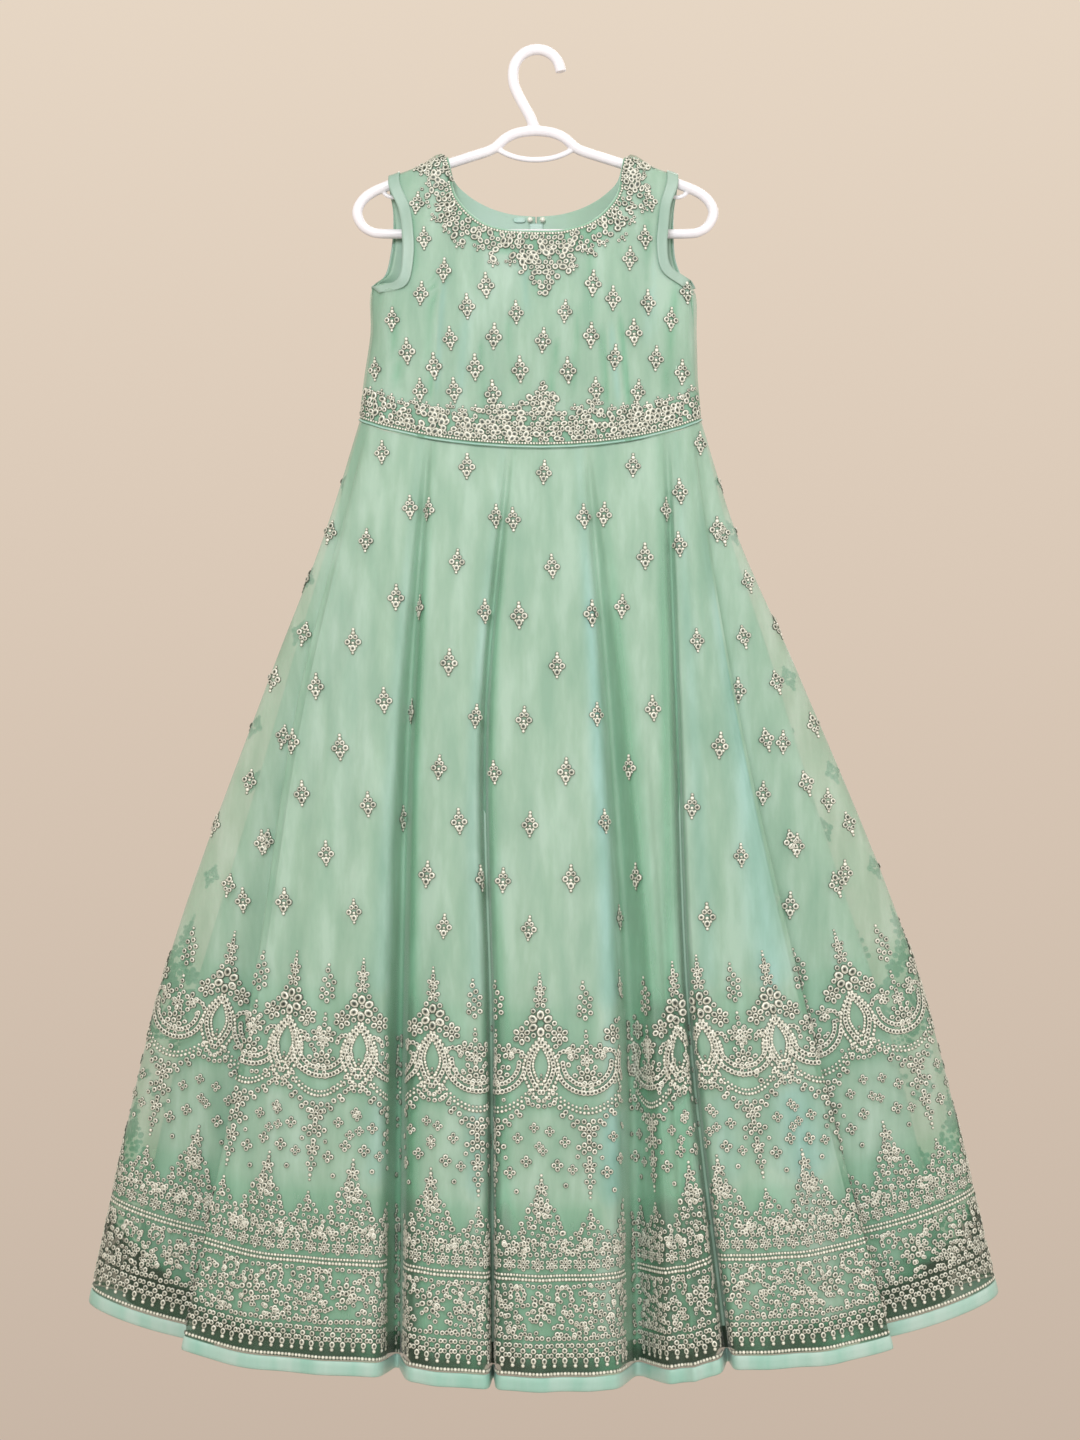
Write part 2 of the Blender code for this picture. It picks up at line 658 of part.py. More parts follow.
def round_side(start, end, start_drop, end_drop, level, right):
    """Points round one side of the skirt, from a lip on one face to a lip on the other."""
    size = skirt_size("right" if right else "left", level)
    sign = 1.0 if right else -1.0
    grown = level**FOLD_GROWTH
    made = []
    for lip, lip_drop, shares, behind in ((start, start_drop, SIDE_SHARES, not right),
                                          (end, end_drop, SIDE_SHARES[-2::-1], right)):
        lip_angle = math.asin(min(1.0, abs(lip[0] - MIDDLE_X) / size))
        for share in shares:
            angle = lip_angle + (math.pi / 2 - lip_angle) * share
            x = MIDDLE_X + sign * size * math.sin(angle)
            made.append(np.array([x, envelope_y(x, level, behind) + lip_drop * grown * (1.0 - share)]))
    return made


def skirt_outline(level):
    """The ring at one level, as folds (three corners each) and the points of the cloth between them."""
    front = [fold_corners(fold, level, False) for fold in FRONT_FOLDS]
    back = [fold_corners(fold, level, True) for fold in BACK_FOLDS]
    ring = []
    for k, corners in enumerate(front):
        ring.append(corners)
        if k < len(front) - 1:
            ring.extend(across_panel(corners[2], front[k + 1][0], FRONT_FOLDS[k][5], FRONT_FOLDS[k + 1][4],
                                     FRONT_PANEL_POINTS[k], level, False))
    ring.extend(round_side(front[-1][2], back[0][0], FRONT_FOLDS[-1][5], 0.0, level, True))
    for k, corners in enumerate(back):
        ring.append(corners)
        if k < len(back) - 1:
            ring.extend(across_panel(corners[2], back[k + 1][0], 0.0, 0.0, BACK_PANEL_POINTS[k], level, True))
    ring.extend(round_side(back[-1][2], front[0][0], 0.0, FRONT_FOLDS[0][4], level, False))
    return ring


def overlay_ring(level):
    """The overlay's ring, with six points to a fold: lip, wall, both edges of the seam, wall and lip."""
    points, seams = [], []
    for item in skirt_outline(level):
        if not isinstance(item, tuple):
            points.append(item)
            continue
        first, bottom, last = item
        apart = unit(last - first) * SEAM_GAP / 2
        seams.append(len(points) + 2)
        points += [first, (first + bottom) / 2, bottom - apart, bottom + apart, (bottom + last) / 2, last]
    return np.array(points), seams


def turned_in(direction):
    """The inward normal of a stretch of the ring, which runs left to right across the front."""
    return np.array([-direction[1], direction[0]])


def corner_inset(before, point, after, inset):
    first, second = turned_in(unit(point - before)), turned_in(unit(after - point))
    middle = unit(first + second)
    return point + middle * inset / max(float(middle @ first), LINING_SHARPEST)


def lining_ring(level):
    """The lining's ring: the overlay's moved in, with four points to a fold so that it clears the fold's bottom."""
    outline = skirt_outline(level)
    inset = LINING_INSET_WAIST + (LINING_INSET_HEM - LINING_INSET_WAIST) * level
    points = []
    for k, item in enumerate(outline):
        before, after = outline[k - 1], outline[(k + 1) % len(outline)]
        before = before[2] if isinstance(before, tuple) else before
        after = after[0] if isinstance(after, tuple) else after
        if not isinstance(item, tuple):
            points.append(corner_inset(before, item, after, inset))
            continue
        first, bottom, last = item
        down, up = unit(bottom - first), unit(last - bottom)
        sharp = (1.0 - float(down @ up)) / 2
        slip = LINING_FOLD_SLIP * inset * sharp - LINING_FOLD_SPREAD * (1.0 - sharp)
        points += [corner_inset(before, first, bottom, inset), bottom + turned_in(down) * inset + down * slip,
                   bottom + turned_in(up) * inset - up * slip, corner_inset(bottom, last, after, inset)]
    points = np.array(points)
    grown = float(smooth_step(level / LINING_SIDE_LEVEL))
    for side, sign in (("left", -1.0), ("right", 1.0)):
        share = np.clip(sign * (points[:, 0] - MIDDLE_X) / skirt_size(side, level), 0.0, 1.0)
        points[:, 0] -= sign * LINING_SIDE_INSET[side] * grown * share**LINING_SIDE_SHAPE
    return points


def waist_heights(ring):
    """Height of the waist seam at each ring point at the top of the skirt."""
    left, right = MIDDLE_X - ring[:, 0].min(), ring[:, 0].max() - MIDDLE_X
    return [waist_seam((x - MIDDLE_X) / (right if x > MIDDLE_X else left), y > MIDDLE_Y) for x, y in ring]


def hang(rings, rows, slack):
    """Columns of points down the skirt, each hanging its own length of cloth, a little longer at the sides."""
    count = len(rings[0])
    grid = np.zeros((count, len(rows), 3))
    heights = waist_heights(rings[0])
    across = np.abs(rings[-1][:, 0] - MIDDLE_X) / np.abs(rings[-1][:, 0] - MIDDLE_X).max()
    lengths = SKIRT_LENGTH + SKIRT_SIDE_EXTRA * smooth_step((across - 0.3) / 0.4)
    for i in range(count):
        z = heights[i] - slack
        for j, ring in enumerate(rings):
            if j:
                run = (rows[j] - rows[j - 1]) * lengths[i]
                sideways = np.linalg.norm(ring[i] - rings[j - 1][i])
                z -= math.sqrt(max(run**2 - sideways**2, 0.0))
            grid[i, j] = (*ring[i], z)
    return grid


def miter_normals(grid):
    """For each point of a closed grid, the outward move that shifts the walls on both its sides by one."""
    to_next = unit(np.roll(grid, -1, axis=0) - grid)
    from_last = np.roll(to_next, 1, axis=0)
    down = unit(np.gradient(grid, axis=1))
    first, second = unit(np.cross(down, from_last)), unit(np.cross(down, to_next))
    middle = unit(first + second)
    return middle / np.maximum(np.sum(middle * first, axis=2, keepdims=True), SHARPEST_MITER)


def ring_columns(count, first, last):
    """The columns of a closed grid from first to last, round past its end where last comes before first."""
    if last <= first:
        last += count
    return [k % count for k in range(first, last + 1)]


def ring_part(grid, first, last):
    return grid[ring_columns(grid.shape[0], first, last)]


def make_skirt_overlay(parent):
    cloth_end = 1.0 - (BINDING_HEIGHT + SEAM_GAP) / SKIRT_LENGTH
    rows = [row * cloth_end for row in SKIRT_ROWS]
    grid = hang([overlay_ring(level)[0] for level in rows], rows, WAIST_SLACK)
    seams = overlay_ring(1.0)[1]
    inner = grid - miter_normals(grid) * WALL
    for k, seam in enumerate(seams):
        last = seams[(k + 1) % len(seams)]
        wall(f"skirt_panel_{k + 1:02d}", ring_part(grid, seam + 1, last), ring_part(inner, seam + 1, last),
             "net", parent)


def make_hem_binding(parent):
    start = 1.0 - BINDING_HEIGHT / SKIRT_LENGTH
    rows = [row * start for row in SKIRT_ROWS] + [1.0]
    grid = hang([overlay_ring(level)[0] for level in rows], rows, WAIST_SLACK)[:, -3:]
    seams = np.array(overlay_ring(1.0)[1])
    grid[seams] = (grid[seams] + grid[seams + 1]) / 2
    grid = np.delete(grid, seams + 1, axis=0)
    normals = miter_normals(grid)
    extra = (BINDING_WALL - WALL) / 2
    outer = grid + normals * extra
    inner = grid - normals * (WALL + extra)
    wall("hem_binding", outer[:, -2:], inner[:, -2:], "satin", parent, closed=True)


def make_skirt_lining(parent):
    """The lining's columns follow the overlay's rows, then end each at its own length, shorter at the sides."""
    levels = list(SKIRT_ROWS[:-1]) + [LINING_LAST_LEVEL, 1.0]
    whole = hang([lining_ring(level) for level in levels], levels, LINING_SLACK)
    left, right = int(np.argmin(whole[:, -1, 0])), int(np.argmax(whole[:, -1, 0]))
    half = (whole[right, -1, 0] - whole[left, -1, 0]) / 2
    share = np.minimum(np.abs(whole[:, -1, 0] - whole[left, -1, 0] - half) / half, 1.0)
    short = np.zeros(len(share))
    for name, first, last in (("front", left, right), ("back", right, left)):
        columns = ring_columns(len(share), first, last)
        rise = (LINING_SHORT["side"] - LINING_SHORT[name]) * share[columns] ** LINING_HEM_SHAPES[name]
        short[columns] = LINING_SHORT[name] + rise
    grid = whole[:, :len(SKIRT_ROWS)].copy()
    for i in range(whole.shape[0]):
        end = 1.0 - short[i] / SKIRT_LENGTH
        grid[i, -1] = [np.interp(end, levels, whole[i, :, k]) for k in range(3)]
    inner = grid - miter_normals(grid) * LINING_WALL
    for name, first, last in (("skirt_lining_front", left, right), ("skirt_lining_back", right, left)):
        faces = [ring_part(part, first, last).copy() for part in (grid, inner)]
        for face in faces:
            face[0] += unit(face[1] - face[0]) * SEAM_GAP / 2
            face[-1] += unit(face[-2] - face[-1]) * SEAM_GAP / 2
        wall(name, *faces, "lining", parent)


# Trims

def make_waist_piping(parent):
    """A cord just above the waist seam."""
    steps = 48
    path = []
    for k in range(steps):
        angle = 2 * math.pi * k / steps
        sizes = [size + PIPING_CLEARANCE + PIPING_RADIUS for size in bodice_size(WAIST_SIDE_Z)]
        path.append((*section_point(angle, *sizes), waist_height(angle) + PIPING_RADIUS + SEAM_GAP))
    curve = bpy.data.curves.new("waist_piping", "CURVE")
    curve.dimensions = "3D"
    curve.bevel_depth = PIPING_RADIUS * 0.001
    curve.bevel_resolution = 1
    curve.materials.append(material("satin"))
    spline = curve.splines.new("POLY")
    spline.points.add(steps - 1)
    for point, place in zip(spline.points, metres(path)):
        point.co = (*place, 1.0)
    spline.use_cyclic_u = True
    obj = bpy.data.objects.new("waist_piping", curve)
    obj.parent = parent
    bpy.context.collection.objects.link(obj)


def inside_back(x, z):
    """A point just inside the lining of the back; x is measured from the middle opening."""
    top, low = neck_height(NECK_MIDDLE_X, True), waist_height(math.pi)
    middle = NECK_MIDDLE_X + (MIDDLE_X - NECK_MIDDLE_X) * (top - z) / (top - low)
    return bodice_point((angle_at(middle + x, z, True, 1.0), z, None), "closure")


def closure_patch(x_low, x_high, z_low, z_high, rows):
    return np.array([[inside_back(x, z) for z in np.linspace(z_high, z_low, rows)]
                     for x in np.linspace(x_low, x_high, 3)])


def make_closure(parent):
    top = neck_height(NECK_MIDDLE_X, True) - 1.0
    ahead = np.array([0.0, -1.0, 0.0])
    strip = closure_patch(-PLACKET_HALF_WIDTH, PLACKET_HALF_WIDTH, top - PLACKET_LENGTH, top - PLACKET_START, 8)
    wall("back_placket", strip, strip + ahead * TRIM_WALL, "satin", parent)
    tab = closure_patch(*TAB_SPAN, top - TAB_HEIGHT, top, 2)
    wall("neck_tab", tab, tab + ahead * TRIM_WALL, "satin", parent)
    for side, x in BUTTON_X.items():
        centre = inside_back(x, top - BUTTON_RADIUS) + ahead * BUTTON_RADIUS
        shape = bmesh.new()
        bmesh.ops.create_icosphere(shape, subdivisions=2, radius=BUTTON_RADIUS)
        vertices = [np.array(v.co) + centre for v in shape.verts]
        faces = [tuple(v.index for v in face.verts) for face in shape.faces]
        shape.free()
        add_object("neck_button_" + side, vertices, faces, "bead", parent)


def main():
    clear_scene()
    root = bpy.data.objects.new("dress_on_hanger", None)
    bpy.context.collection.objects.link(root)
    make_hanger(root)
    make_bodice(root)
    make_skirt_overlay(root)
    make_hem_binding(root)
    make_skirt_lining(root)
    make_waist_piping(root)
    make_closure(root)


main()
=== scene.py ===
"""Looks of the maxi dress on its hanger: sheer overlay with silver embroidery over a satin lining."""

import math

import bmesh
import bpy
import numpy as np
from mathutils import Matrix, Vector
from mathutils.bvhtree import BVHTree


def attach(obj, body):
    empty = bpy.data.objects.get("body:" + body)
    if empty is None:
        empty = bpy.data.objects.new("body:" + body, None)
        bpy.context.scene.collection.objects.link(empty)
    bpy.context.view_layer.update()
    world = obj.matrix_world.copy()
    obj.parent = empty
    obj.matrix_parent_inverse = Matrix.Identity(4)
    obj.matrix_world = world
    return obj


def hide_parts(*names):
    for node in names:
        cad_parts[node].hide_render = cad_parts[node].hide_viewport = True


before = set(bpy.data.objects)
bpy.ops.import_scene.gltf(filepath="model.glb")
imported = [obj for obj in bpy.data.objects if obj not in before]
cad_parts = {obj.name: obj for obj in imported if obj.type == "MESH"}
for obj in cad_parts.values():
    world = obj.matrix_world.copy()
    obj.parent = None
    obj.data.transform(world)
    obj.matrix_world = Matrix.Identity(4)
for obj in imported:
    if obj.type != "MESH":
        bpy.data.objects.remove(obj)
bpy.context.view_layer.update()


# Cloth and seams, in millimetres
SEAM_GAP = 0.3
BACK_OPENING_GAP = 1.6

# Layers of the bodice, at the middle of each: radius round the hanger's arm, and distance inside the
# overlay's outer face
FACES = {"trim": (10.3, -1.1), "overlay": (8.6, 0.75), "lining": (6.8, 3.75), "closure": (5.7, 4.9)}

# Hanger, in millimetres
TUBE_RADIUS = 5.25
HOOK_RADIUS = 27.5
BRACE_RADIUS = 3.2
STRAP_HOOK_RADIUS = 2.4
HANGER_MIDDLE_X = -2.0

# Right half of the hanger's frame: distance from its middle, and height, of the tube's centre line
HANGER_HALF = (
    (0.0, -87.2), (20.0, -89.5), (34.5, -96.2), (45.5, -106.0), (56.0, -111.2), (74.0, -117.0),
    (99.0, -125.0), (132.0, -136.5), (163.5, -148.0), (186.0, -157.5), (199.0, -168.0), (204.3, -181.0),
    (199.5, -194.5), (188.0, -203.0), (166.0, -205.4), (84.0, -205.4),
)
# The part of it that a strap can lie on
HANGER_ARM = HANGER_HALF[4:10]

# Body of the dress: half widths left and right of its middle, and depths in front and behind
MIDDLE_X = 5.0
MIDDLE_Y = -4.0
FRONT_FULLNESS = 0.83
BACK_FULLNESS = 0.7
BODICE_SIZES = (
    # height, left, right, front, back
    (-421.0, 209.0, 184.0, 34.0, 26.0),
    (-386.0, 206.0, 181.0, 35.0, 25.0),
    (-350.0, 200.0, 179.0, 38.0, 25.0),
    (-312.0, 195.5, 178.0, 40.0, 26.0),
    (-268.0, 194.0, 177.0, 36.0, 26.0),
    (-200.0, 192.0, 175.0, 30.0, 24.0),
    (-143.0, 190.0, 173.0, 24.0, 20.0),
)
WAIST_SIDE_Z = -421.0
WAIST_DIP_FRONT = 35.0
WAIST_DIP_BACK = 25.0
WAIST_DIP_SHAPE = 1.6

# Neck, as half of an oval in front and behind
NECK_MIDDLE_X = -1.2
NECK_HALF_WIDTH = 102.0
NECK_TOP_Z = -119.0
NECK_DEPTH_FRONT = 89.5
NECK_DEPTH_BACK = 63.5
NECK_SHAPE_FRONT = 3.0
NECK_SHAPE_BACK = 2.0

# How the straps curve over the hanger's arms
SHOULDER_BLEND = 75.0
SHOULDER_STEPS = (0.5, 1.0)
NECK_EDGE_HEIGHT = 9.0

# Armhole edges from the underarm up to the hanger's arm: distance across, height, and face of the body
ARMHOLES = {
    "front_left": ((-188.0, -268.0, 0), (-168.0, -268.5, 0), (-156.0, -259.0, 0), (-152.5, -238.0, 0),
                   (-153.5, -203.0, 0), (-160.0, -172.0, 0)),
    "front_right": ((174.0, -262.0, 0), (161.0, -258.5, 0), (150.5, -246.0, 0), (147.3, -227.0, 0),
                    (149.0, -200.0, 0), (154.0, -168.0, 0)),
    "back_left": ((-188.0, -268.0, 0), (-184.0, -263.0, 1), (-174.0, -251.0, 1), (-167.5, -225.0, 1),
                  (-165.0, -197.0, 1), (-166.0, -172.0, 1)),
    "back_right": ((174.0, -262.0, 0), (176.0, -261.0, 1), (164.0, -251.0, 1), (158.0, -228.0, 1),
                   (156.5, -200.0, 1), (158.0, -168.0, 1)),
}
UNDERARM_SHARE = 0.45
ARMHOLE_STRIP_WIDTH = 12.0
# Rough size of the body, which turns angles into lengths along the armhole
BODY_HALF_WIDTH = 185.0
BODY_HALF_DEPTH = 32.0

# Strap columns from the armhole inwards: angle at the waist, x at the arm, and how far round the arm
# they reach
STRAP_ANGLES = (90.0, 76.0, 60.0, 38.0, 37.0, 36.0)
STRAP_X = {"left": (-170.0, -157.5, -137.5, -104.0, -101.8, -100.5),
           "right": (161.5, 149.0, 134.0, 101.6, 99.4, 98.1)}
STRAP_TURNS = (90.0, 90.0, 90.0, 90.0, 45.0, 0.0)
NECK_WAIST_ANGLE = 36.0
NECK_SHARES = (0.2, 0.4, 0.58, 0.74)
EDGE_REACH = math.radians(45.0)
BODICE_ROWS = (0.0, 0.02, 0.13, 0.29, 0.45, 0.58, 0.68, 0.78, 0.88, 1.0)
ARMHOLE_FIRST_ROW = 4

# Skirt: sizes at the waist, hip, knee and hem, which lie at these shares of its length
SKIRT_LENGTH = 1043.0
SKIRT_SIDE_EXTRA = 14.0
WAIST_SLACK = 0.4
LINING_SLACK = 1.5
BINDING_HEIGHT = 14.0
LEVELS = (0.0, 0.29, 0.63, 1.0)
SIZE_LEVELS = (0.0, 0.115, 0.29, 0.63, 1.0)
SKIRT_SIZES = {
    "left": (209.0, 245.0, 311.0, 432.0, 520.0),
    "right": (184.0, 220.0, 294.0, 428.0, 525.0),
    "front": (34.0, 46.0, 62.0, 98.0, 138.0),
    "back": (26.0, 28.0, 31.0, 36.0, 40.0),
    "middle": (-4.0, -2.8, -1.0, 3.0, 6.0),
}
PANEL_CROWN = 6.0
FOLD_GROWTH = 0.8
FOLD_AT_WAIST = 10.0

# One fold for each panel seam. x is the seam at the four levels, mouth its width at the hip and hem,
# depth how far the cloth goes in, lean how far the bottom of the fold slips sideways, and the drops set
# the left or right lip further back than the other, all at the hem.
FOLD_COLUMNS = ("x", "mouth", "depth", "lean", "drop_left", "drop_right")
FRONT_FOLDS = (
    ((-196.0, -266.0, -314.0, -384.5), (-8.0, -30.0), 27.0, 22.0, 46.0, 0.0),
    ((-123.0, -145.0, -155.0, -158.0), (20.0, 30.0), 66.0, 2.0, 0.0, 0.0),
    ((-31.0, -58.0, -51.5, -48.5), (10.0, 7.0), 64.0, 0.0, 0.0, 0.0),
    ((57.0, 84.0, 107.0, 116.0), (24.0, 52.0), 62.0, -4.0, 0.0, 6.0),
    ((147.0, 156.0, 168.0, 209.5), (8.0, 12.0), 58.0, 4.0, 0.0, 0.0),
    ((180.0, 221.0, 293.0, 384.5), (-8.0, -30.0), 27.0, -22.0, 0.0, 46.0),
)
BACK_FOLDS = (
    ((118.0, 176.0, 256.0, 332.0), (12.0, 18.0), 27.0, 6.0, 0.0, 0.0),
    ((42.0, 60.0, 94.0, 121.0), (10.0, 14.0), 24.0, -4.0, 0.0, 0.0),
    ((-36.0, -57.0, -84.0, -109.0), (12.0, 20.0), 26.0, 3.0, 0.0, 0.0),
    ((-116.0, -180.0, -264.0, -341.0), (10.0, 16.0), 25.0, -6.0, 0.0, 0.0),
)
FRONT_PANEL_POINTS = (9, 5, 7, 7, 9)
BACK_PANEL_POINTS = (7, 7, 7)
SIDE_SHARES = (0.15, 0.3, 0.45, 0.6, 0.72, 0.85, 0.94, 1.0)

# Lining of the skirt: how far it lies inside the overlay, and how much shorter it is
LINING_INSET_WAIST = 3.0
LINING_INSET_HEM = 7.0
LINING_SIDE_INSET = {"left": 36.0, "right": 48.0}
LINING_SIDE_SHAPE = 9
LINING_SIDE_LEVEL = 0.6
LINING_HEM_SHAPES = {"front": 6, "back": 12}
LINING_SHORT = {"front": 42.0, "back": 20.0, "side": 115.0}

# Soft drapes inside each panel: how many, how deep at the hem, and where they start
WAVE_DEPTH = 5.0
WAVES_FRONT = ((2.6, 0.1), (1.4, 0.55), (2.2, 0.3), (2.4, 0.8), (2.7, 0.45))
WAVES_BACK = ((2.3, 0.2), (2.1, 0.6), (2.4, 0.9))

# Waist piping and the closure of the neck
PIPING_RADIUS = 1.4
PLACKET_HALF_WIDTH = 8.0
PLACKET_START = 7.0
PLACKET_LENGTH = 150.0
BUTTON_RADIUS = 3.2
BUTTON_X = {"left": -7.5, "right": 7.5}
TAB_SPAN = (-27.0, -12.5)
TAB_HEIGHT = 6.0


# Curves

def unit(vectors):
    return vectors / np.linalg.norm(vectors, axis=-1, keepdims=True)


def smooth_step(value):
    value = np.clip(value, 0.0, 1.0)
    return value * value * (3.0 - 2.0 * value)


def smooth_between(at, places, values):
    """Cubic Hermite curve through the values, with slopes taken from their neighbours."""
    places = np.asarray(places, float)
    values = np.asarray(values, float)
    slopes = np.gradient(values, places)
    index = int(np.clip(np.searchsorted(places, at, side="right") - 1, 0, len(places) - 2))
    span = places[index + 1] - places[index]
    share = (at - places[index]) / span
    start, end = values[index], values[index + 1]
    lift = (end - start) * share * share * (3.0 - 2.0 * share)
    bend_start = slopes[index] * span * share * (1.0 - share) ** 2
    bend_end = -slopes[index + 1] * span * share * share * (1.0 - share)
    return start + lift + bend_start + bend_end


def catmull_rom(points, steps, closed=False):
    """Points along a smooth curve through the given ones."""
    points = np.asarray(points, float)
    count = len(points)
    made = []
    for i in range(count if closed else count - 1):
        if closed:
            a, b, c, d = (points[(i + k) % count] for k in (-1, 0, 1, 2))
        else:
            a, b, c, d = (points[min(max(i + k, 0), count - 1)] for k in (-1, 0, 1, 2))
        for share in np.arange(steps) / steps:
            square, cube = share**2, share**3
            made.append(0.5 * (2 * b + (c - a) * share + (2 * a - 5 * b + 4 * c - d) * square
                               + (3 * b - a - 3 * c + d) * cube))
    if not closed:
        made.append(points[-1])
    return np.array(made)


# Hanger

def hanger_frame_path():
    half = [(HANGER_MIDDLE_X + x, 0.0, z) for x, z in HANGER_HALF]
    other = [(HANGER_MIDDLE_X - x, 0.0, z) for x, z in reversed(HANGER_HALF[1:])]
    bar_middle = [(HANGER_MIDDLE_X, 0.0, HANGER_HALF[-1][1])]
    return catmull_rom(half + bar_middle + other, 2, closed=True)


def hanger_hook_path():
    """From the open tip, over the nail and down the shank into the arch."""
    centre_z = TUBE_RADIUS - HOOK_RADIUS
    arc = []
    for degrees in range(4, 181, 22):
        angle = math.radians(degrees)
        arc.append((HOOK_RADIUS * math.cos(angle), 0.0, centre_z + HOOK_RADIUS * math.sin(angle)))
    shank = [(-26.0, 0.0, -36.0), (-18.0, 0.0, -53.0), (-8.5, 0.0, -70.0), (HANGER_MIDDLE_X, 0.0, -86.0)]
    return catmull_rom(arc + shank, 2)


def brace_path():
    ends_x, ends_z, dip_z = 45.0, -107.5, -120.3
    points = []
    for share in np.linspace(-1.0, 1.0, 9):
        z = dip_z + (ends_z - dip_z) * abs(share) ** 2.2
        points.append((HANGER_MIDDLE_X + ends_x * share, 0.0, z))
    return points


def strap_hook_path(side):
    points = ((176.0, -155.0), (171.0, -161.0), (163.0, -163.5), (155.0, -162.0))
    return catmull_rom([(HANGER_MIDDLE_X + side * x, 0.0, z) for x, z in points], 2)


def arm_height(x):
    """Height of the centre line of the hanger's arm under a strap."""
    return float(np.interp(abs(x - HANGER_MIDDLE_X), *zip(*HANGER_ARM)))


# Bodice shape

def bodice_size(z):
    heights = [row[0] for row in BODICE_SIZES]
    return [float(np.interp(z, heights, [row[k] for row in BODICE_SIZES])) for k in range(1, 5)]


def section_point(angle, left, right, front, back):
    """A point of a rounded flat ring; angle 0 is the middle of the front and 180 the middle of the back."""
    across, ahead = math.sin(angle), math.cos(angle)
    x = MIDDLE_X + across * (right if across > 0 else left)
    if ahead >= 0:
        return x, MIDDLE_Y - front * ahead**FRONT_FULLNESS
    return x, MIDDLE_Y + back * (-ahead) ** BACK_FULLNESS


def bodice_point(place, face):
    """A point of one layer. A place is an angle, a height, and the turn round the hanger's arm or None."""
    angle, z, turn = place
    arm_radius, inset = FACES[face]
    sizes = bodice_size(z)
    x = section_point(angle, *sizes)[0]
    side = -1.0 if math.cos(angle) >= 0 else 1.0
    if turn is not None:
        steepness = math.hypot(1.0, (arm_height(x + 1.0) - arm_height(x - 1.0)) / 2)
        rise = arm_radius * steepness * math.sin(math.radians(turn))
        return np.array([x, side * arm_radius * math.cos(math.radians(turn)), arm_height(x) + rise])
    share = float(smooth_step((arm_height(x) - z) / SHOULDER_BLEND))
    body_x, body_y = section_point(angle, *[size - inset for size in sizes])
    return np.array([x + (body_x - x) * share, side * arm_radius * (1.0 - share) + body_y * share, z])


def angle_at(x, z, behind, sign):
    """Angle of the section point at x, in front, or behind on the piece on that side of the back."""
    left, right = bodice_size(z)[:2]
    share = (x - MIDDLE_X) / (right if x > MIDDLE_X else left)
    angle = math.asin(max(-1.0, min(1.0, share)))
    return sign * math.pi - angle if behind else angle


def neck_swing(share):
    return math.sin(share * math.pi / 2)


def waist_sines():
    """Sines of the angles of all columns at the waist; the waist seam is straight between them."""
    strap = [math.sin(math.radians(angle)) for angle in sorted(STRAP_ANGLES)]
    neck = [math.sin(math.radians(NECK_WAIST_ANGLE)) * neck_swing(share) for share in NECK_SHARES]
    return [0.0] + neck + strap


WAIST_SINES = waist_sines()


def waist_seam(sine, behind):
    """Height of the waist seam at a share of the half width."""
    dip = WAIST_DIP_BACK if behind else WAIST_DIP_FRONT
    drops = [dip * (1.0 - s * s) ** (WAIST_DIP_SHAPE / 2) for s in WAIST_SINES]
    return WAIST_SIDE_Z - float(np.interp(min(1.0, abs(sine)), WAIST_SINES, drops))


def waist_height(angle):
    return waist_seam(math.sin(angle), math.cos(angle) < 0)


def neck_height(x, behind):
    share = min(1.0, abs(x - NECK_MIDDLE_X) / NECK_HALF_WIDTH)
    depth, shape = (NECK_DEPTH_BACK, NECK_SHAPE_BACK) if behind else (NECK_DEPTH_FRONT, NECK_SHAPE_FRONT)
    return NECK_TOP_Z - depth * math.sqrt(1.0 - share**shape)


def strap_columns(side, behind):
    """Angle at the waist, x and height at the top, and turn round the arm of each column, armhole first."""
    sign = -1.0 if side == "left" else 1.0
    made = []
    for index, (degrees, x, turn) in enumerate(zip(STRAP_ANGLES, STRAP_X[side], STRAP_TURNS)):
        angle = sign * math.radians(degrees)
        if behind and index:
            angle = sign * math.pi - angle
        made.append((angle, x, arm_height(x) - NECK_EDGE_HEIGHT * (1.0 - turn / 90.0), turn))
    return made


def neck_columns(swings, behind, sign):
    """The same for the columns that end below the neck edge; swings run from -1 at its left end to 1."""
    made = []
    for swing in swings:
        x = NECK_MIDDLE_X + NECK_HALF_WIDTH * swing
        angle = math.asin(math.sin(math.radians(NECK_WAIST_ANGLE)) * swing)
        if behind:
            angle = sign * math.pi - angle
        made.append((angle, x, neck_height(x, behind) - NECK_EDGE_HEIGHT, None))
    return made


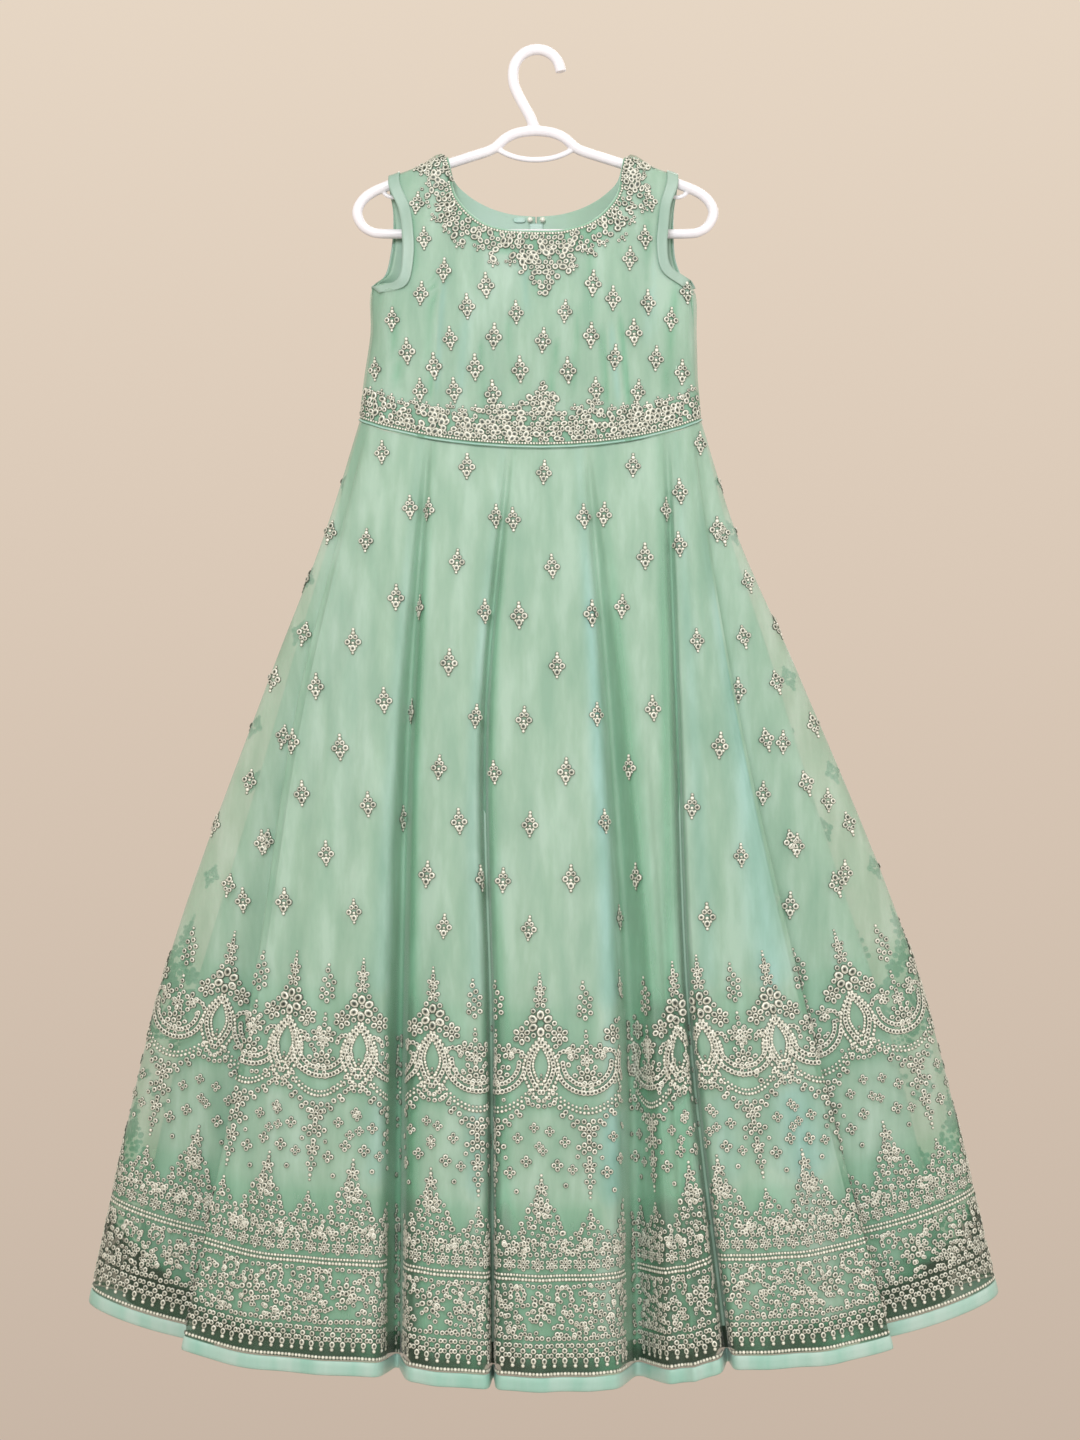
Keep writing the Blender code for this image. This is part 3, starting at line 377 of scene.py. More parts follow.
def armhole_edge(side, behind, beside):
    """(angle, height) up the side seam and the armhole for each row, and for the column beside it."""
    sign = -1.0 if side == "left" else 1.0
    hand = sign if behind else -sign
    table = ARMHOLES[("back_" if behind else "front_") + side]
    corners = [(angle_at(x, z, on_back, sign), z) for x, z, on_back in table]
    shoulder_x = STRAP_X[side][0]
    corners.append((angle_at(shoulder_x, arm_height(shoulder_x), behind, sign), arm_height(shoulder_x)))
    seam_angle = sign * math.radians(STRAP_ANGLES[0])
    seam_start = np.array((seam_angle, waist_height(seam_angle)))
    curve = catmull_rom(corners, 8)
    spread = np.hypot(BODY_HALF_WIDTH * np.cos(curve[:, 0]), BODY_HALF_DEPTH * np.sin(curve[:, 0]))
    steps = np.hypot(np.diff(curve[:, 0]) * spread[1:], np.diff(curve[:, 1]))
    distances = np.concatenate([[0.0], np.cumsum(steps)]) / steps.sum()
    slopes = np.gradient(curve, axis=0) * np.stack([spread, np.ones(len(curve))], axis=1)
    edge, inner = [], []
    for row in BODICE_ROWS:
        share = max(0.0, (row - UNDERARM_SHARE) / (1.0 - UNDERARM_SHARE))
        point = np.array([np.interp(share, distances, curve[:, k]) for k in (0, 1)])
        slope = np.array([np.interp(share, distances, slopes[:, k]) for k in (0, 1)])
        width = np.interp(share, distances, spread)
        away = unit(np.array([slope[1], -slope[0]]) * hand)
        if share == 0.0:
            away = unit(np.array([hand, -1.0]))
        inward = point + away * ARMHOLE_STRIP_WIDTH / np.array([width, 1.0])
        below = min(1.0, row / UNDERARM_SHARE)
        edge.append(seam_start + (point - seam_start) * below)
        inner.append((inward - beside(UNDERARM_SHARE)) * below if share == 0.0 else inward - beside(row))
    inner[-1] = np.zeros(2)
    return edge, inner


def bodice_places(columns, edges, behind, sign):
    """Places of a panel from the waist up to the neck and the shoulders, then over the hanger's arm.

    edges gives for either end the side whose armhole it runs up, or None for a straight edge.
    """
    waist = [np.array((column[0], waist_height(column[0]))) for column in columns]
    top = [np.array((angle_at(x, z, behind, sign), z)) for _, x, z, _ in columns]

    def upwards(i, v):
        return waist[i] * (1 - v) + top[i] * v

    armholes = []
    last = len(columns) - 1
    for end, beside, side in ((0, 1, edges[0]), (last, last - 1, edges[1])):
        if side:
            edge, inner = armhole_edge(side, behind, lambda v, i=beside: upwards(i, v))
            armholes.append((end, beside, edge, inner))
    places = []
    for i, (_, x, top_z, reach) in enumerate(columns):
        line = []
        for j, v in enumerate(BODICE_ROWS):
            place = upwards(i, v)
            for end, beside, edge, inner in armholes:
                near = max(0.0, 1.0 - abs(waist[i][0] - waist[beside][0]) / EDGE_REACH)
                place = edge[j] if i == end else place + inner[j] * near
            line.append((place[0], place[1] + (SEAM_GAP / 2 if j == 0 else 0.0), None))
        for step in SHOULDER_STEPS:
            if reach:
                line.append((*top[i], step * reach))
            else:
                z = top_z + NECK_EDGE_HEIGHT * step
                line.append((angle_at(x, z, behind, sign), z, None))
        places.append(line)
    return places


def front_places():
    swings = [neck_swing(share) for share in NECK_SHARES]
    inner = neck_columns([-swing for swing in swings[::-1]] + [0.0] + swings, False, 1.0)
    columns = strap_columns("left", False) + inner + strap_columns("right", False)[::-1]
    return bodice_places(columns, ("left", "right"), False, 1.0)


def back_places(side):
    """One half of the back, from the middle opening to the side seam."""
    sign = -1.0 if side == "left" else 1.0
    opening = BACK_OPENING_GAP / 2 / NECK_HALF_WIDTH
    swings = [sign * opening] + [sign * neck_swing(share) for share in NECK_SHARES]
    columns = neck_columns(swings, True, sign) + strap_columns(side, True)[::-1]
    return bodice_places(columns, (None, side), True, sign)


# Skirt shape

def skirt_size(name, level):
    return smooth_between(level, SIZE_LEVELS, SKIRT_SIZES[name])


def envelope_y(x, level, behind):
    """Where the unfolded skirt lies at x, in front or behind."""
    side = skirt_size("right" if x > MIDDLE_X else "left", level)
    share = min(1.0, abs(x - MIDDLE_X) / side)
    ahead = math.sqrt(1.0 - share**2)
    if behind:
        return skirt_size("middle", level) + skirt_size("back", level) * ahead**BACK_FULLNESS
    return skirt_size("middle", level) - skirt_size("front", level) * ahead**FRONT_FULLNESS


def fold_corners(fold, level, behind):
    """The first lip, the bottom and the last lip of a fold, in the order the ring runs."""
    row = dict(zip(FOLD_COLUMNS, fold))
    grown = level**FOLD_GROWTH
    turn = -1.0 if behind else 1.0
    x = smooth_between(level, LEVELS, row["x"])
    mouth = smooth_between(level, (LEVELS[0], LEVELS[1], LEVELS[3]), (FOLD_AT_WAIST,) + row["mouth"])
    first_x, last_x = x - turn * mouth / 2, x + turn * mouth / 2
    first = np.array([first_x, envelope_y(first_x, level, behind) + row["drop_left"] * grown])
    last = np.array([last_x, envelope_y(last_x, level, behind) + row["drop_right"] * grown])
    bottom_y = envelope_y(x, level, behind) + turn * row["depth"] * grown
    return first, np.array([x + row["lean"] * grown, bottom_y]), last


def across_panel(start, end, start_drop, end_drop, count, level, behind, waves):
    """Points of a panel between two folds, slightly crowned, with soft drapes that grow towards the hem."""
    outward_sign = 1.0 if behind else -1.0
    grown = level**FOLD_GROWTH
    made = []
    for k in range(1, count + 1):
        share = k / (count + 1)
        x = start[0] + (end[0] - start[0]) * share
        drop = (start_drop + (end_drop - start_drop) * share) * grown
        edge = math.sin(math.pi * share)
        number, phase = waves
        wave = WAVE_DEPTH * grown * edge * math.sin(2 * math.pi * (number * share + phase + 0.25 * level))
        crown = PANEL_CROWN * grown * edge + wave - WAVE_DEPTH * grown * edge * 0.5
        made.append(np.array([x, envelope_y(x, level, behind) + drop + outward_sign * crown]))
    return made


def round_side(start, end, start_drop, end_drop, level, right):
    """Points round one side of the skirt, from a lip on one face to a lip on the other."""
    size = skirt_size("right" if right else "left", level)
    sign = 1.0 if right else -1.0
    grown = level**FOLD_GROWTH
    made = []
    for lip, lip_drop, shares, behind in ((start, start_drop, SIDE_SHARES, not right),
                                          (end, end_drop, SIDE_SHARES[-2::-1], right)):
        lip_angle = math.asin(min(1.0, abs(lip[0] - MIDDLE_X) / size))
        for share in shares:
            angle = lip_angle + (math.pi / 2 - lip_angle) * share
            x = MIDDLE_X + sign * size * math.sin(angle)
            made.append(np.array([x, envelope_y(x, level, behind) + lip_drop * grown * (1.0 - share)]))
    return made


def skirt_outline(level):
    """The ring at one level, as folds (three corners each) and the points of the cloth between them."""
    front = [fold_corners(fold, level, False) for fold in FRONT_FOLDS]
    back = [fold_corners(fold, level, True) for fold in BACK_FOLDS]
    ring = []
    for k, corners in enumerate(front):
        ring.append(corners)
        if k < len(front) - 1:
            ring.extend(across_panel(corners[2], front[k + 1][0], FRONT_FOLDS[k][5], FRONT_FOLDS[k + 1][4],
                                     FRONT_PANEL_POINTS[k], level, False, WAVES_FRONT[k]))
    ring.extend(round_side(front[-1][2], back[0][0], FRONT_FOLDS[-1][5], 0.0, level, True))
    for k, corners in enumerate(back):
        ring.append(corners)
        if k < len(back) - 1:
            ring.extend(across_panel(corners[2], back[k + 1][0], 0.0, 0.0, BACK_PANEL_POINTS[k], level, True,
                                     WAVES_BACK[k]))
    ring.extend(round_side(back[-1][2], front[0][0], 0.0, FRONT_FOLDS[0][4], level, False))
    return ring


def waist_heights(ring):
    """Height of the waist seam at each ring point at the top of the skirt."""
    left, right = MIDDLE_X - ring[:, 0].min(), ring[:, 0].max() - MIDDLE_X
    return [waist_seam((x - MIDDLE_X) / (right if x > MIDDLE_X else left), y > MIDDLE_Y) for x, y in ring]


def hang(rings, levels, slack):
    """Columns of points down the skirt, each hanging its own length of cloth, longer at the sides."""
    rings = np.asarray(rings)
    across = np.abs(rings[-1][:, 0] - MIDDLE_X) / np.abs(rings[-1][:, 0] - MIDDLE_X).max()
    lengths = SKIRT_LENGTH + SKIRT_SIDE_EXTRA * smooth_step((across - 0.3) / 0.4)
    runs = np.diff(levels)[:, None] * lengths
    sideways = np.linalg.norm(np.diff(rings, axis=0), axis=2)
    falls = np.sqrt(np.maximum(runs**2 - sideways**2, 0.0))
    top = np.array(waist_heights(rings[0])) - slack
    heights = np.vstack([top, top - np.cumsum(falls, axis=0)])
    return np.concatenate([rings, heights[:, :, None]], axis=2).transpose(1, 0, 2)


def inside_back(x, z):
    """A point just inside the lining of the back; x is measured from the middle opening."""
    top, low = neck_height(NECK_MIDDLE_X, True), waist_height(math.pi)
    middle = NECK_MIDDLE_X + (MIDDLE_X - NECK_MIDDLE_X) * (top - z) / (top - low)
    return bodice_point((angle_at(middle + x, z, True, 1.0), z, None), "closure")


# Meshes

MM = 0.001


def new_object(name, points, faces):
    mesh = bpy.data.meshes.new(name)
    mesh.from_pydata([tuple(p) for p in np.asarray(points) * MM], [], [tuple(map(int, f)) for f in faces])
    mesh.update()
    mesh.shade_smooth()
    made = bpy.data.objects.new(name, mesh)
    bpy.context.scene.collection.objects.link(made)
    return made


def grid_faces(columns, rows, closed=False, tube=False):
    """Quads of a grid of columns by rows. closed joins the last column to the first, tube the last row."""
    made = []
    for i in range(columns if closed else columns - 1):
        start, beside = i * rows, (i + 1) % columns * rows
        for j in range(rows if tube else rows - 1):
            other = (j + 1) % rows
            made.append((start + j, start + other, beside + other, beside + j))
    return made


def grid_object(name, grid, closed=False, tube=False):
    return new_object(name, grid.reshape(-1, 3), grid_faces(*grid.shape[:2], closed, tube))


def thicken(piece, thickness):
    solid = piece.modifiers.new("cloth", "SOLIDIFY")
    solid.thickness = thickness * MM
    solid.offset = 0.0
    solid.use_even_offset = False


def refine(grid, steps):
    """A finer grid through the same points, smooth both ways, also where its columns are unevenly spaced."""
    for _ in range(2):
        gaps = np.linalg.norm(np.diff(grid, axis=0), axis=2).mean(axis=1)
        at = np.concatenate([[0.0], np.cumsum(gaps)])
        slopes = np.gradient(grid, at, axis=0)
        made = []
        for i, gap in enumerate(gaps):
            for share in np.arange(steps) / steps:
                lift = share * share * (3.0 - 2.0 * share)
                bend = slopes[i] * share * (1.0 - share) ** 2 - slopes[i + 1] * share * share * (1.0 - share)
                made.append(grid[i] + (grid[i + 1] - grid[i]) * lift + bend * gap)
        made.append(grid[-1])
        grid = np.array(made).transpose(1, 0, 2)
    return grid


def grid_normals(grid):
    return unit(np.cross(np.gradient(grid, axis=1), np.gradient(grid, axis=0)) + 1e-9)


def runs_along(points):
    """Distances along rows of points, from the first of each."""
    steps = np.linalg.norm(np.diff(points, axis=-2), axis=-1)
    return np.concatenate([np.zeros((*steps.shape[:-1], 1)), np.cumsum(steps, axis=-1)], axis=-1)


def point_along(points, runs, at):
    """The point where the run along a row of points has that value."""
    return np.array([np.interp(at, runs, points[:, k]) for k in range(3)])


def sweep(path, profile, closed=False, ahead=(0.0, -1.0, 0.0), widths=1.0):
    """A tube with that profile of (sideways, ahead) points along a path, and its faces."""
    path = np.asarray(path, float)
    widths = np.asarray(widths, float).reshape(-1, 1)
    if closed:
        along = unit(np.roll(path, -1, axis=0) - np.roll(path, 1, axis=0))
    else:
        along = unit(np.gradient(path, axis=0))
    forward = np.asarray(ahead, float) + np.zeros_like(path)
    forward = unit(forward - along * np.sum(forward * along, axis=1, keepdims=True))
    side = np.cross(along, forward)
    rings = [path + (side * a + forward * b) * widths for a, b in profile]
    points = np.array(rings).transpose(1, 0, 2)
    count = len(profile)
    faces = grid_faces(len(path), count, closed, tube=True)
    if not closed:
        faces.append(tuple(range(count))[::-1])
        faces.append(tuple((len(path) - 1) * count + k for k in range(count)))
    return points.reshape(-1, 3), faces


def circle_profile(radius, sides, ridge=0.0):
    """A round profile, with an optional fine ridge straight ahead."""
    made = []
    for k in range(sides):
        angle = 2 * math.pi * k / sides
        grown = radius + (ridge if k == 0 else 0.0)
        made.append((grown * math.sin(angle), grown * math.cos(angle)))
    return made


def set_values(piece, values, name="shade"):
    """Keeps a value for each point of a piece, which its material reads."""
    attribute = piece.data.attributes.new(name, "FLOAT", "POINT")
    attribute.data.foreach_set("value", np.asarray(values, np.float32))


def dress(piece, cad_nodes, finish):
    """Gives a piece its finish and its place in the frame."""
    piece.data.materials.clear()
    piece.data.materials.append(finish)
    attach(piece, "root")
    if cad_nodes:
        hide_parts(*cad_nodes)
    return piece


# Materials

def new_material(name, **settings):
    made = bpy.data.materials.new(name)
    made.use_nodes = True
    tree = made.node_tree
    shader = tree.nodes["Principled BSDF"]
    for socket, value in settings.items():
        shader.inputs[socket.replace("_", " ")].default_value = value
    return made, tree, shader


def node(tree, kind, **settings):
    made = tree.nodes.new(kind)
    for key, value in settings.items():
        setattr(made, key, value)
    return made


def calculated(tree, operation, *terms):
    """The result of a Math node; each term is a socket or a number."""
    made = node(tree, "ShaderNodeMath", operation=operation)
    for socket, term in zip(made.inputs, terms):
        if isinstance(term, float):
            socket.default_value = term
        else:
            tree.links.new(term, socket)
    return made.outputs["Value"]


def multiplied(tree, colour, amount):
    product = node(tree, "ShaderNodeVectorMath", operation="MULTIPLY")
    tree.links.new(colour, product.inputs[0])
    tree.links.new(amount, product.inputs[1])
    return product.outputs["Vector"]


def point_value(tree, name):
    return node(tree, "ShaderNodeAttribute", attribute_name=name).outputs["Fac"]


def object_place(tree):
    return node(tree, "ShaderNodeTexCoord").outputs["Object"]


def colour_ramp(tree, source, stops):
    ramp = node(tree, "ShaderNodeValToRGB")
    elements = ramp.color_ramp.elements
    while len(elements) < len(stops):
        elements.new(0.5)
    for element, (place, colour) in zip(elements, stops):
        element.position = place
        element.color = (*colour, 1.0)
    tree.links.new(source, ramp.inputs["Fac"])
    return ramp.outputs["Color"]


def noise(tree, coordinates, scale, detail=2.0, stretch=None):
    made = node(tree, "ShaderNodeTexNoise")
    made.inputs["Scale"].default_value = scale
    made.inputs["Detail"].default_value = detail
    if stretch:
        mapping = node(tree, "ShaderNodeMapping")
        mapping.inputs["Scale"].default_value = stretch
        tree.links.new(coordinates, mapping.inputs["Vector"])
        coordinates = mapping.outputs["Vector"]
    tree.links.new(coordinates, made.inputs["Vector"])
    return made.outputs["Fac"]


def bumped(tree, shader, heights, strength, distance):
    bump = node(tree, "ShaderNodeBump")
    bump.inputs["Strength"].default_value = strength
    bump.inputs["Distance"].default_value = distance
    tree.links.new(heights, bump.inputs["Height"])
    tree.links.new(bump.outputs["Normal"], shader.inputs["Normal"])


def weave(tree, coordinates, thread):
    """Two crossed sets of fine threads."""
    sets = []
    for direction in ("DIAGONAL", "Z"):
        wave = node(tree, "ShaderNodeTexWave", bands_direction=direction)
        wave.inputs["Scale"].default_value = 1.0 / thread
        wave.inputs["Distortion"].default_value = 0.6
        wave.inputs["Detail"].default_value = 1.0
        tree.links.new(coordinates, wave.inputs["Vector"])
        sets.append(wave.outputs["Fac"])
    return calculated(tree, "ADD", *sets)


# Colour stops. Painted light runs from painted shade over none at the middle to a painted bluish sheen
PAINTED_LIGHT_STOPS = ((0.0, (0.15, 0.175, 0.145)), (0.25, (0.42, 0.76, 0.60)), (0.5, (1.0, 1.0, 1.0)),
              (0.75, (0.74, 1.02, 1.24)))
HOLLOW_SHADE_STOPS = ((0.1, (0.52, 0.88, 0.7)), (0.45, (0.74, 0.92, 0.84)), (0.8, (1.0, 1.0, 1.0)))
SHADE_STOPS = ((0.0, (0.05, 0.075, 0.055)), (0.5, (0.36, 0.52, 0.43)), (1.0, (1.0, 1.0, 1.0)))
NET_STOPS = ((0.32, (0.28, 0.49, 0.38)), (0.5, (0.38, 0.58, 0.47)), (0.66, (0.50, 0.70, 0.61)))
LINING_STOPS = ((0.32, (0.33, 0.55, 0.44)), (0.5, (0.42, 0.62, 0.51)), (0.66, (0.48, 0.66, 0.60)))
SATIN_STOPS = ((0.35, (0.27, 0.52, 0.45)), (0.65, (0.42, 0.60, 0.56)))
STRIP_STOPS = ((0.3, (0.27, 0.43, 0.37)), (0.7, (0.36, 0.51, 0.45)))
SILVER_STOPS = ((0.3, (0.022, 0.035, 0.026)), (0.68, (0.12, 0.15, 0.12)), (1.05, (0.52, 0.55, 0.47)),
                (1.35, (0.90, 0.92, 0.85)))
SILVER_RANGE = 1.5
PLASTIC_STOPS = ((0.3, (0.80, 0.82, 0.90)), (0.7, (0.87, 0.89, 0.96)))
FLOOR_STOPS = ((0.3, (0.62, 0.56, 0.50)), (0.7, (0.66, 0.60, 0.54)))
WALL_STOPS = ((0.0, (0.56, 0.455, 0.37)), (0.5, (0.68, 0.56, 0.455)), (1.0, (0.81, 0.69, 0.565)))

HOLLOW_REACH = 0.2
HOLLOW_SAMPLES = 5
STREAK_DETAIL = 5.0
STREAK_STRETCH = (1.0, 1.0, 0.2)
WEAVE_DEPTH = 0.0003


def hollow_shade(tree):
    """Painted shade from ambient occlusion: white on open cloth, and dark green inside the skirt and in the
    bottoms of folds.
    """
    hidden = node(tree, "ShaderNodeAmbientOcclusion", samples=HOLLOW_SAMPLES)
    hidden.inputs["Distance"].default_value = HOLLOW_REACH
    return colour_ramp(tree, hidden.outputs["AO"], HOLLOW_SHADE_STOPS)


def cloth_material(name, stops, roughness, sheen, thread, bump, patch, alpha=1.0, shaded=None):
    """Woven cloth: colour in soft streaks down the cloth, partly moiré of the sheer layers and partly painted
    shade and sheen of soft wrinkles, fine crossed threads, and a sheen.
    """
    made, tree, shader = new_material(name, Roughness=roughness, Sheen_Weight=sheen, Sheen_Roughness=0.35,
                                      Alpha=alpha)
    coordinates = object_place(tree)
    # Streaks of colour: partly moiré of the sheer layers, partly painted shade and sheen of soft wrinkles
    colour = colour_ramp(tree, noise(tree, coordinates, patch, STREAK_DETAIL, STREAK_STRETCH), stops)
    # Painted shade from ambient occlusion, then painted shade and sheen from each point's painted light
    # values
    if shaded == "painted_light":
        colour = multiplied(tree, colour, hollow_shade(tree))
        painted_light = calculated(tree, "MULTIPLY_ADD", point_value(tree, "painted_light"), 0.25, 0.5)
        colour = multiplied(tree, colour, colour_ramp(tree, painted_light, PAINTED_LIGHT_STOPS))
    elif shaded:
        colour = multiplied(tree, colour, colour_ramp(tree, point_value(tree, shaded), SHADE_STOPS))
    tree.links.new(colour, shader.inputs["Base Color"])
    bumped(tree, shader, weave(tree, coordinates, thread), bump, WEAVE_DEPTH)
    return made


def embroidery_material():
    """Silver thread and sequins, darker in the middle of each ring, with the painted shadows, highlights and
    sparkle that the elements' shades carry.
    """
    made, tree, shader = new_material("silver_embroidery", Roughness=0.36, Metallic=0.12, Sheen_Weight=0.2)
    coordinates = object_place(tree)
    grain = noise(tree, coordinates, 900.0)
    grained = calculated(tree, "MULTIPLY_ADD", grain, 0.5, point_value(tree, "shade"))
    share = calculated(tree, "DIVIDE", grained, SILVER_RANGE)
    stops = [(place / SILVER_RANGE, colour) for place, colour in SILVER_STOPS]
    tree.links.new(colour_ramp(tree, share, stops), shader.inputs["Base Color"])
    bumped(tree, shader, noise(tree, coordinates, 1400.0, 1.0), 0.5, 0.0004)
    return made


def plastic_material():
    """White moulded plastic with a faint grain."""
    made, tree, shader = new_material("white_plastic", Roughness=0.34)
    coordinates = object_place(tree)
    colour = colour_ramp(tree, noise(tree, coordinates, 30.0, 3.0), PLASTIC_STOPS)
    tree.links.new(colour, shader.inputs["Base Color"])
    bumped(tree, shader, noise(tree, coordinates, 700.0), 0.15, 0.0004)
    return made


NET = cloth_material("mint_organza", NET_STOPS, 0.5, 0.5, 0.0009, 0.25, 46.0, alpha=0.5, shaded="painted_light")
LINING = cloth_material("mint_satin_lining", LINING_STOPS, 0.42, 0.15, 0.0005, 0.12, 9.0, shaded="shade")
SATIN = cloth_material("bright_mint_satin", SATIN_STOPS, 0.3, 0.1, 0.0006, 0.15, 34.0)
STRIP = cloth_material("soft_mint_satin", STRIP_STOPS, 0.34, 0.1, 0.0006, 0.15, 40.0)
SILVER = embroidery_material()
PLASTIC = plastic_material()


# Hanger

HOOK_TUBE_RADIUS = 6.2
ARM_RADIUS = 5.9
BAR_RADIUS = 5.45
MOULD_RIDGE = 0.55
BAR_TOP_Z = -185.0
BAR_BLEND = 15.0
HOOK_BLEND = 60.0
HANGER_VOXEL = 1.15


def make_hanger():
    loop = catmull_rom(hanger_frame_path(), 4, closed=True)
    loop_widths = 1.0 - (1.0 - BAR_RADIUS / ARM_RADIUS) * smooth_step((BAR_TOP_Z - loop[:, 2]) / BAR_BLEND)
    hook = catmull_rom(hanger_hook_path(), 4)
    hook[:, 2] += (HOOK_TUBE_RADIUS - TUBE_RADIUS) * smooth_step((hook[:, 2] + HOOK_BLEND) / HOOK_BLEND)
    parts = [
        (loop, circle_profile(ARM_RADIUS, 28, MOULD_RIDGE), True, loop_widths),
        (hook, circle_profile(HOOK_TUBE_RADIUS, 28, MOULD_RIDGE), False, 1.0),
        (catmull_rom(brace_path(), 4), circle_profile(BRACE_RADIUS, 20), False, 1.0),
    ]
    for side in (-1, 1):
        strap_hook = catmull_rom(strap_hook_path(side), 4)
        parts.append((strap_hook, circle_profile(STRAP_HOOK_RADIUS, 16), False, 1.0))
    points, faces, start = [], [], 0
    for path, profile, closed, widths in parts:
        more, more_faces = sweep(path, profile, closed, widths=widths)
        points.append(more)
        faces += [tuple(start + k for k in face) for face in more_faces]
        start += len(more)
    hanger = new_object("hanger_moulded", np.concatenate(points), faces)
    remesh = hanger.modifiers.new("join", "REMESH")
    remesh.mode = "VOXEL"
    remesh.voxel_size = HANGER_VOXEL * MM
    remesh.use_smooth_shade = True
    soften = hanger.modifiers.new("soften", "SMOOTH")
    soften.factor = 0.5
    soften.iterations = 3
    graph = bpy.context.evaluated_depsgraph_get()
    joined = bpy.data.meshes.new_from_object(hanger.evaluated_get(graph))
    hanger.modifiers.clear()
    hanger.data = joined
    joined.shade_smooth()
    dress(hanger, ["hanger"], PLASTIC)


# Bodice

BODICE_STEPS = 5
OVERLAY_PUCKER = 1.3
LINING_PUCKER = 0.4
LINING_SEED = 5.0
# Wave lengths across and down of the broad and of the fine puckers, and how they fade out
BROAD_WAVE = (11.0, 60.0)
FINE_WAVE = (5.6, 90.0)
PUCKER_TOP_Z = -150.0
PUCKER_FADE_TOP = 40.0
PUCKER_FADE_WAIST = 60.0
PUCKER_FADE_COLUMNS = 8.0
LINING_THICKNESS = 0.8
BACK_LINING_SHADE = 0.78
# Darts under the bust: x at the top and at the waist, and how much deeper than the puckers they are
DARTS = ((-122.0, -128.0), (97.0, 102.0))
DART_TOP = -318.0
DART_FADE = 45.0
DART_SPREAD = 4.0
DART_SHARE = 2.2

# Painted shade and painted sheen of soft upright creases of the front: across, top, bottom, spread, and tone,
# which is painted shade below nought and painted sheen above it
PAINTED_CREASES = (
    (-119.0, -250.0, -405.0, 3.4, -1.4), (-110.0, -255.0, -400.0, 4.0, 0.5),
    (-160.0, -290.0, -400.0, 5.0, -0.8), (-62.0, -330.0, -415.0, 3.2, -1.1),
    (-84.0, -300.0, -400.0, 6.0, 0.4), (18.0, -330.0, -415.0, 3.6, -0.9),
    (-30.0, -300.0, -390.0, 4.0, -0.7), (-14.0, -200.0, -310.0, 5.0, 0.4),
    (-2.0, -190.0, -290.0, 4.0, -0.7), (76.0, -315.0, -415.0, 3.2, -1.3),
    (99.0, -300.0, -415.0, 3.6, -1.3), (88.0, -310.0, -410.0, 4.0, 0.5),
    (60.0, -200.0, -330.0, 5.0, -0.7), (128.0, -230.0, -340.0, 5.0, 0.4),
    (152.0, -260.0, -400.0, 5.0, -0.9), (44.0, -290.0, -400.0, 3.6, -0.7),
    (-140.0, -180.0, -260.0, 4.0, -0.7), (126.0, -190.0, -280.0, 4.0, -0.6),
)

# Painted shade on the ground under dense embroidery: reach from the waist and from the neck, softness, and
# tone
WAIST_GROUND = 38.0
NECK_GROUND = 34.0
GROUND_EDGE = 9.0
GROUND_SHADE = 0.8

# Armhole strips: the two columns of each piece that they cover, how fine, how much crowned and how thick
STRIP_COLUMNS = {"front_left": slice(0, 2), "front_right": slice(-2, None), "back_left": slice(-2, None),
                 "back_right": slice(-2, None)}
STRIP_STEPS = 6
STRIP_CROWN = 0.35
STRIP_THICKNESS = 1.0


def layer_grid(places, face):
    return np.array([[bodice_point(place, face) for place in column] for column in places])


def pucker(grid, seed, depth):
    """Soft upright puckers of a bodice that hangs from its shoulders, and its darts."""
    x, z = grid[:, :, 0], grid[:, :, 2]
    broad = np.sin(x / BROAD_WAVE[0] + seed + 0.8 * np.sin(z / BROAD_WAVE[1] + seed))
    fine = 0.6 * np.sin(x / FINE_WAVE[0] - z / FINE_WAVE[1] + 2.0 * seed)
    fade = smooth_step((z - WAIST_SIDE_Z) / PUCKER_FADE_WAIST)
    fade = fade * smooth_step((PUCKER_TOP_Z - z) / PUCKER_FADE_TOP)
    column = np.arange(grid.shape[0])
    edge = np.minimum(column, column[::-1]) / PUCKER_FADE_COLUMNS
    lift = (broad + fine) * depth * fade * smooth_step(edge)[:, None]
    down = smooth_step((DART_TOP - z) / DART_FADE)
    for top_x, low_x in DARTS:
        dart_x = top_x + (low_x - top_x) * (DART_TOP - z) / (DART_TOP - WAIST_SIDE_Z)
        dart = np.exp(-(((x - dart_x) / DART_SPREAD) ** 2)) * (grid[:, :, 1] < 0)
        lift = lift - DART_SHARE * depth * down * dart
    return grid + grid_normals(grid) * lift[:, :, None]


def crease_painted_light(grid, creases):
    """Painted light on the overlay: painted shade near the waist and the neck, and painted shade and sheen in
    upright creases.
    """
    above_waist = runs_along(grid)
    below_neck = above_waist[:, -1:] - above_waist
    by_neck = np.abs(grid[:, -1:, 0] - NECK_MIDDLE_X) < NECK_HALF_WIDTH
    painted_light = -GROUND_SHADE * smooth_step((WAIST_GROUND - above_waist) / GROUND_EDGE)
    painted_light -= GROUND_SHADE * smooth_step((NECK_GROUND - below_neck) / GROUND_EDGE) * by_neck
    for across, top, bottom, spread, amount in creases:
        middle, half = (top + bottom) / 2, (top - bottom) / 2
        ends = np.clip(1.3 - 1.3 * np.abs((grid[:, :, 2] - middle) / half) ** 3, 0.0, 1.0)
        lean = 0.1 * math.sin(0.05 * across) * (grid[:, :, 2] - middle)
        painted_light += amount * ends * np.exp(-(((grid[:, :, 0] - across - lean) / spread) ** 2))
    return np.clip(painted_light, -1.0, 1.0)


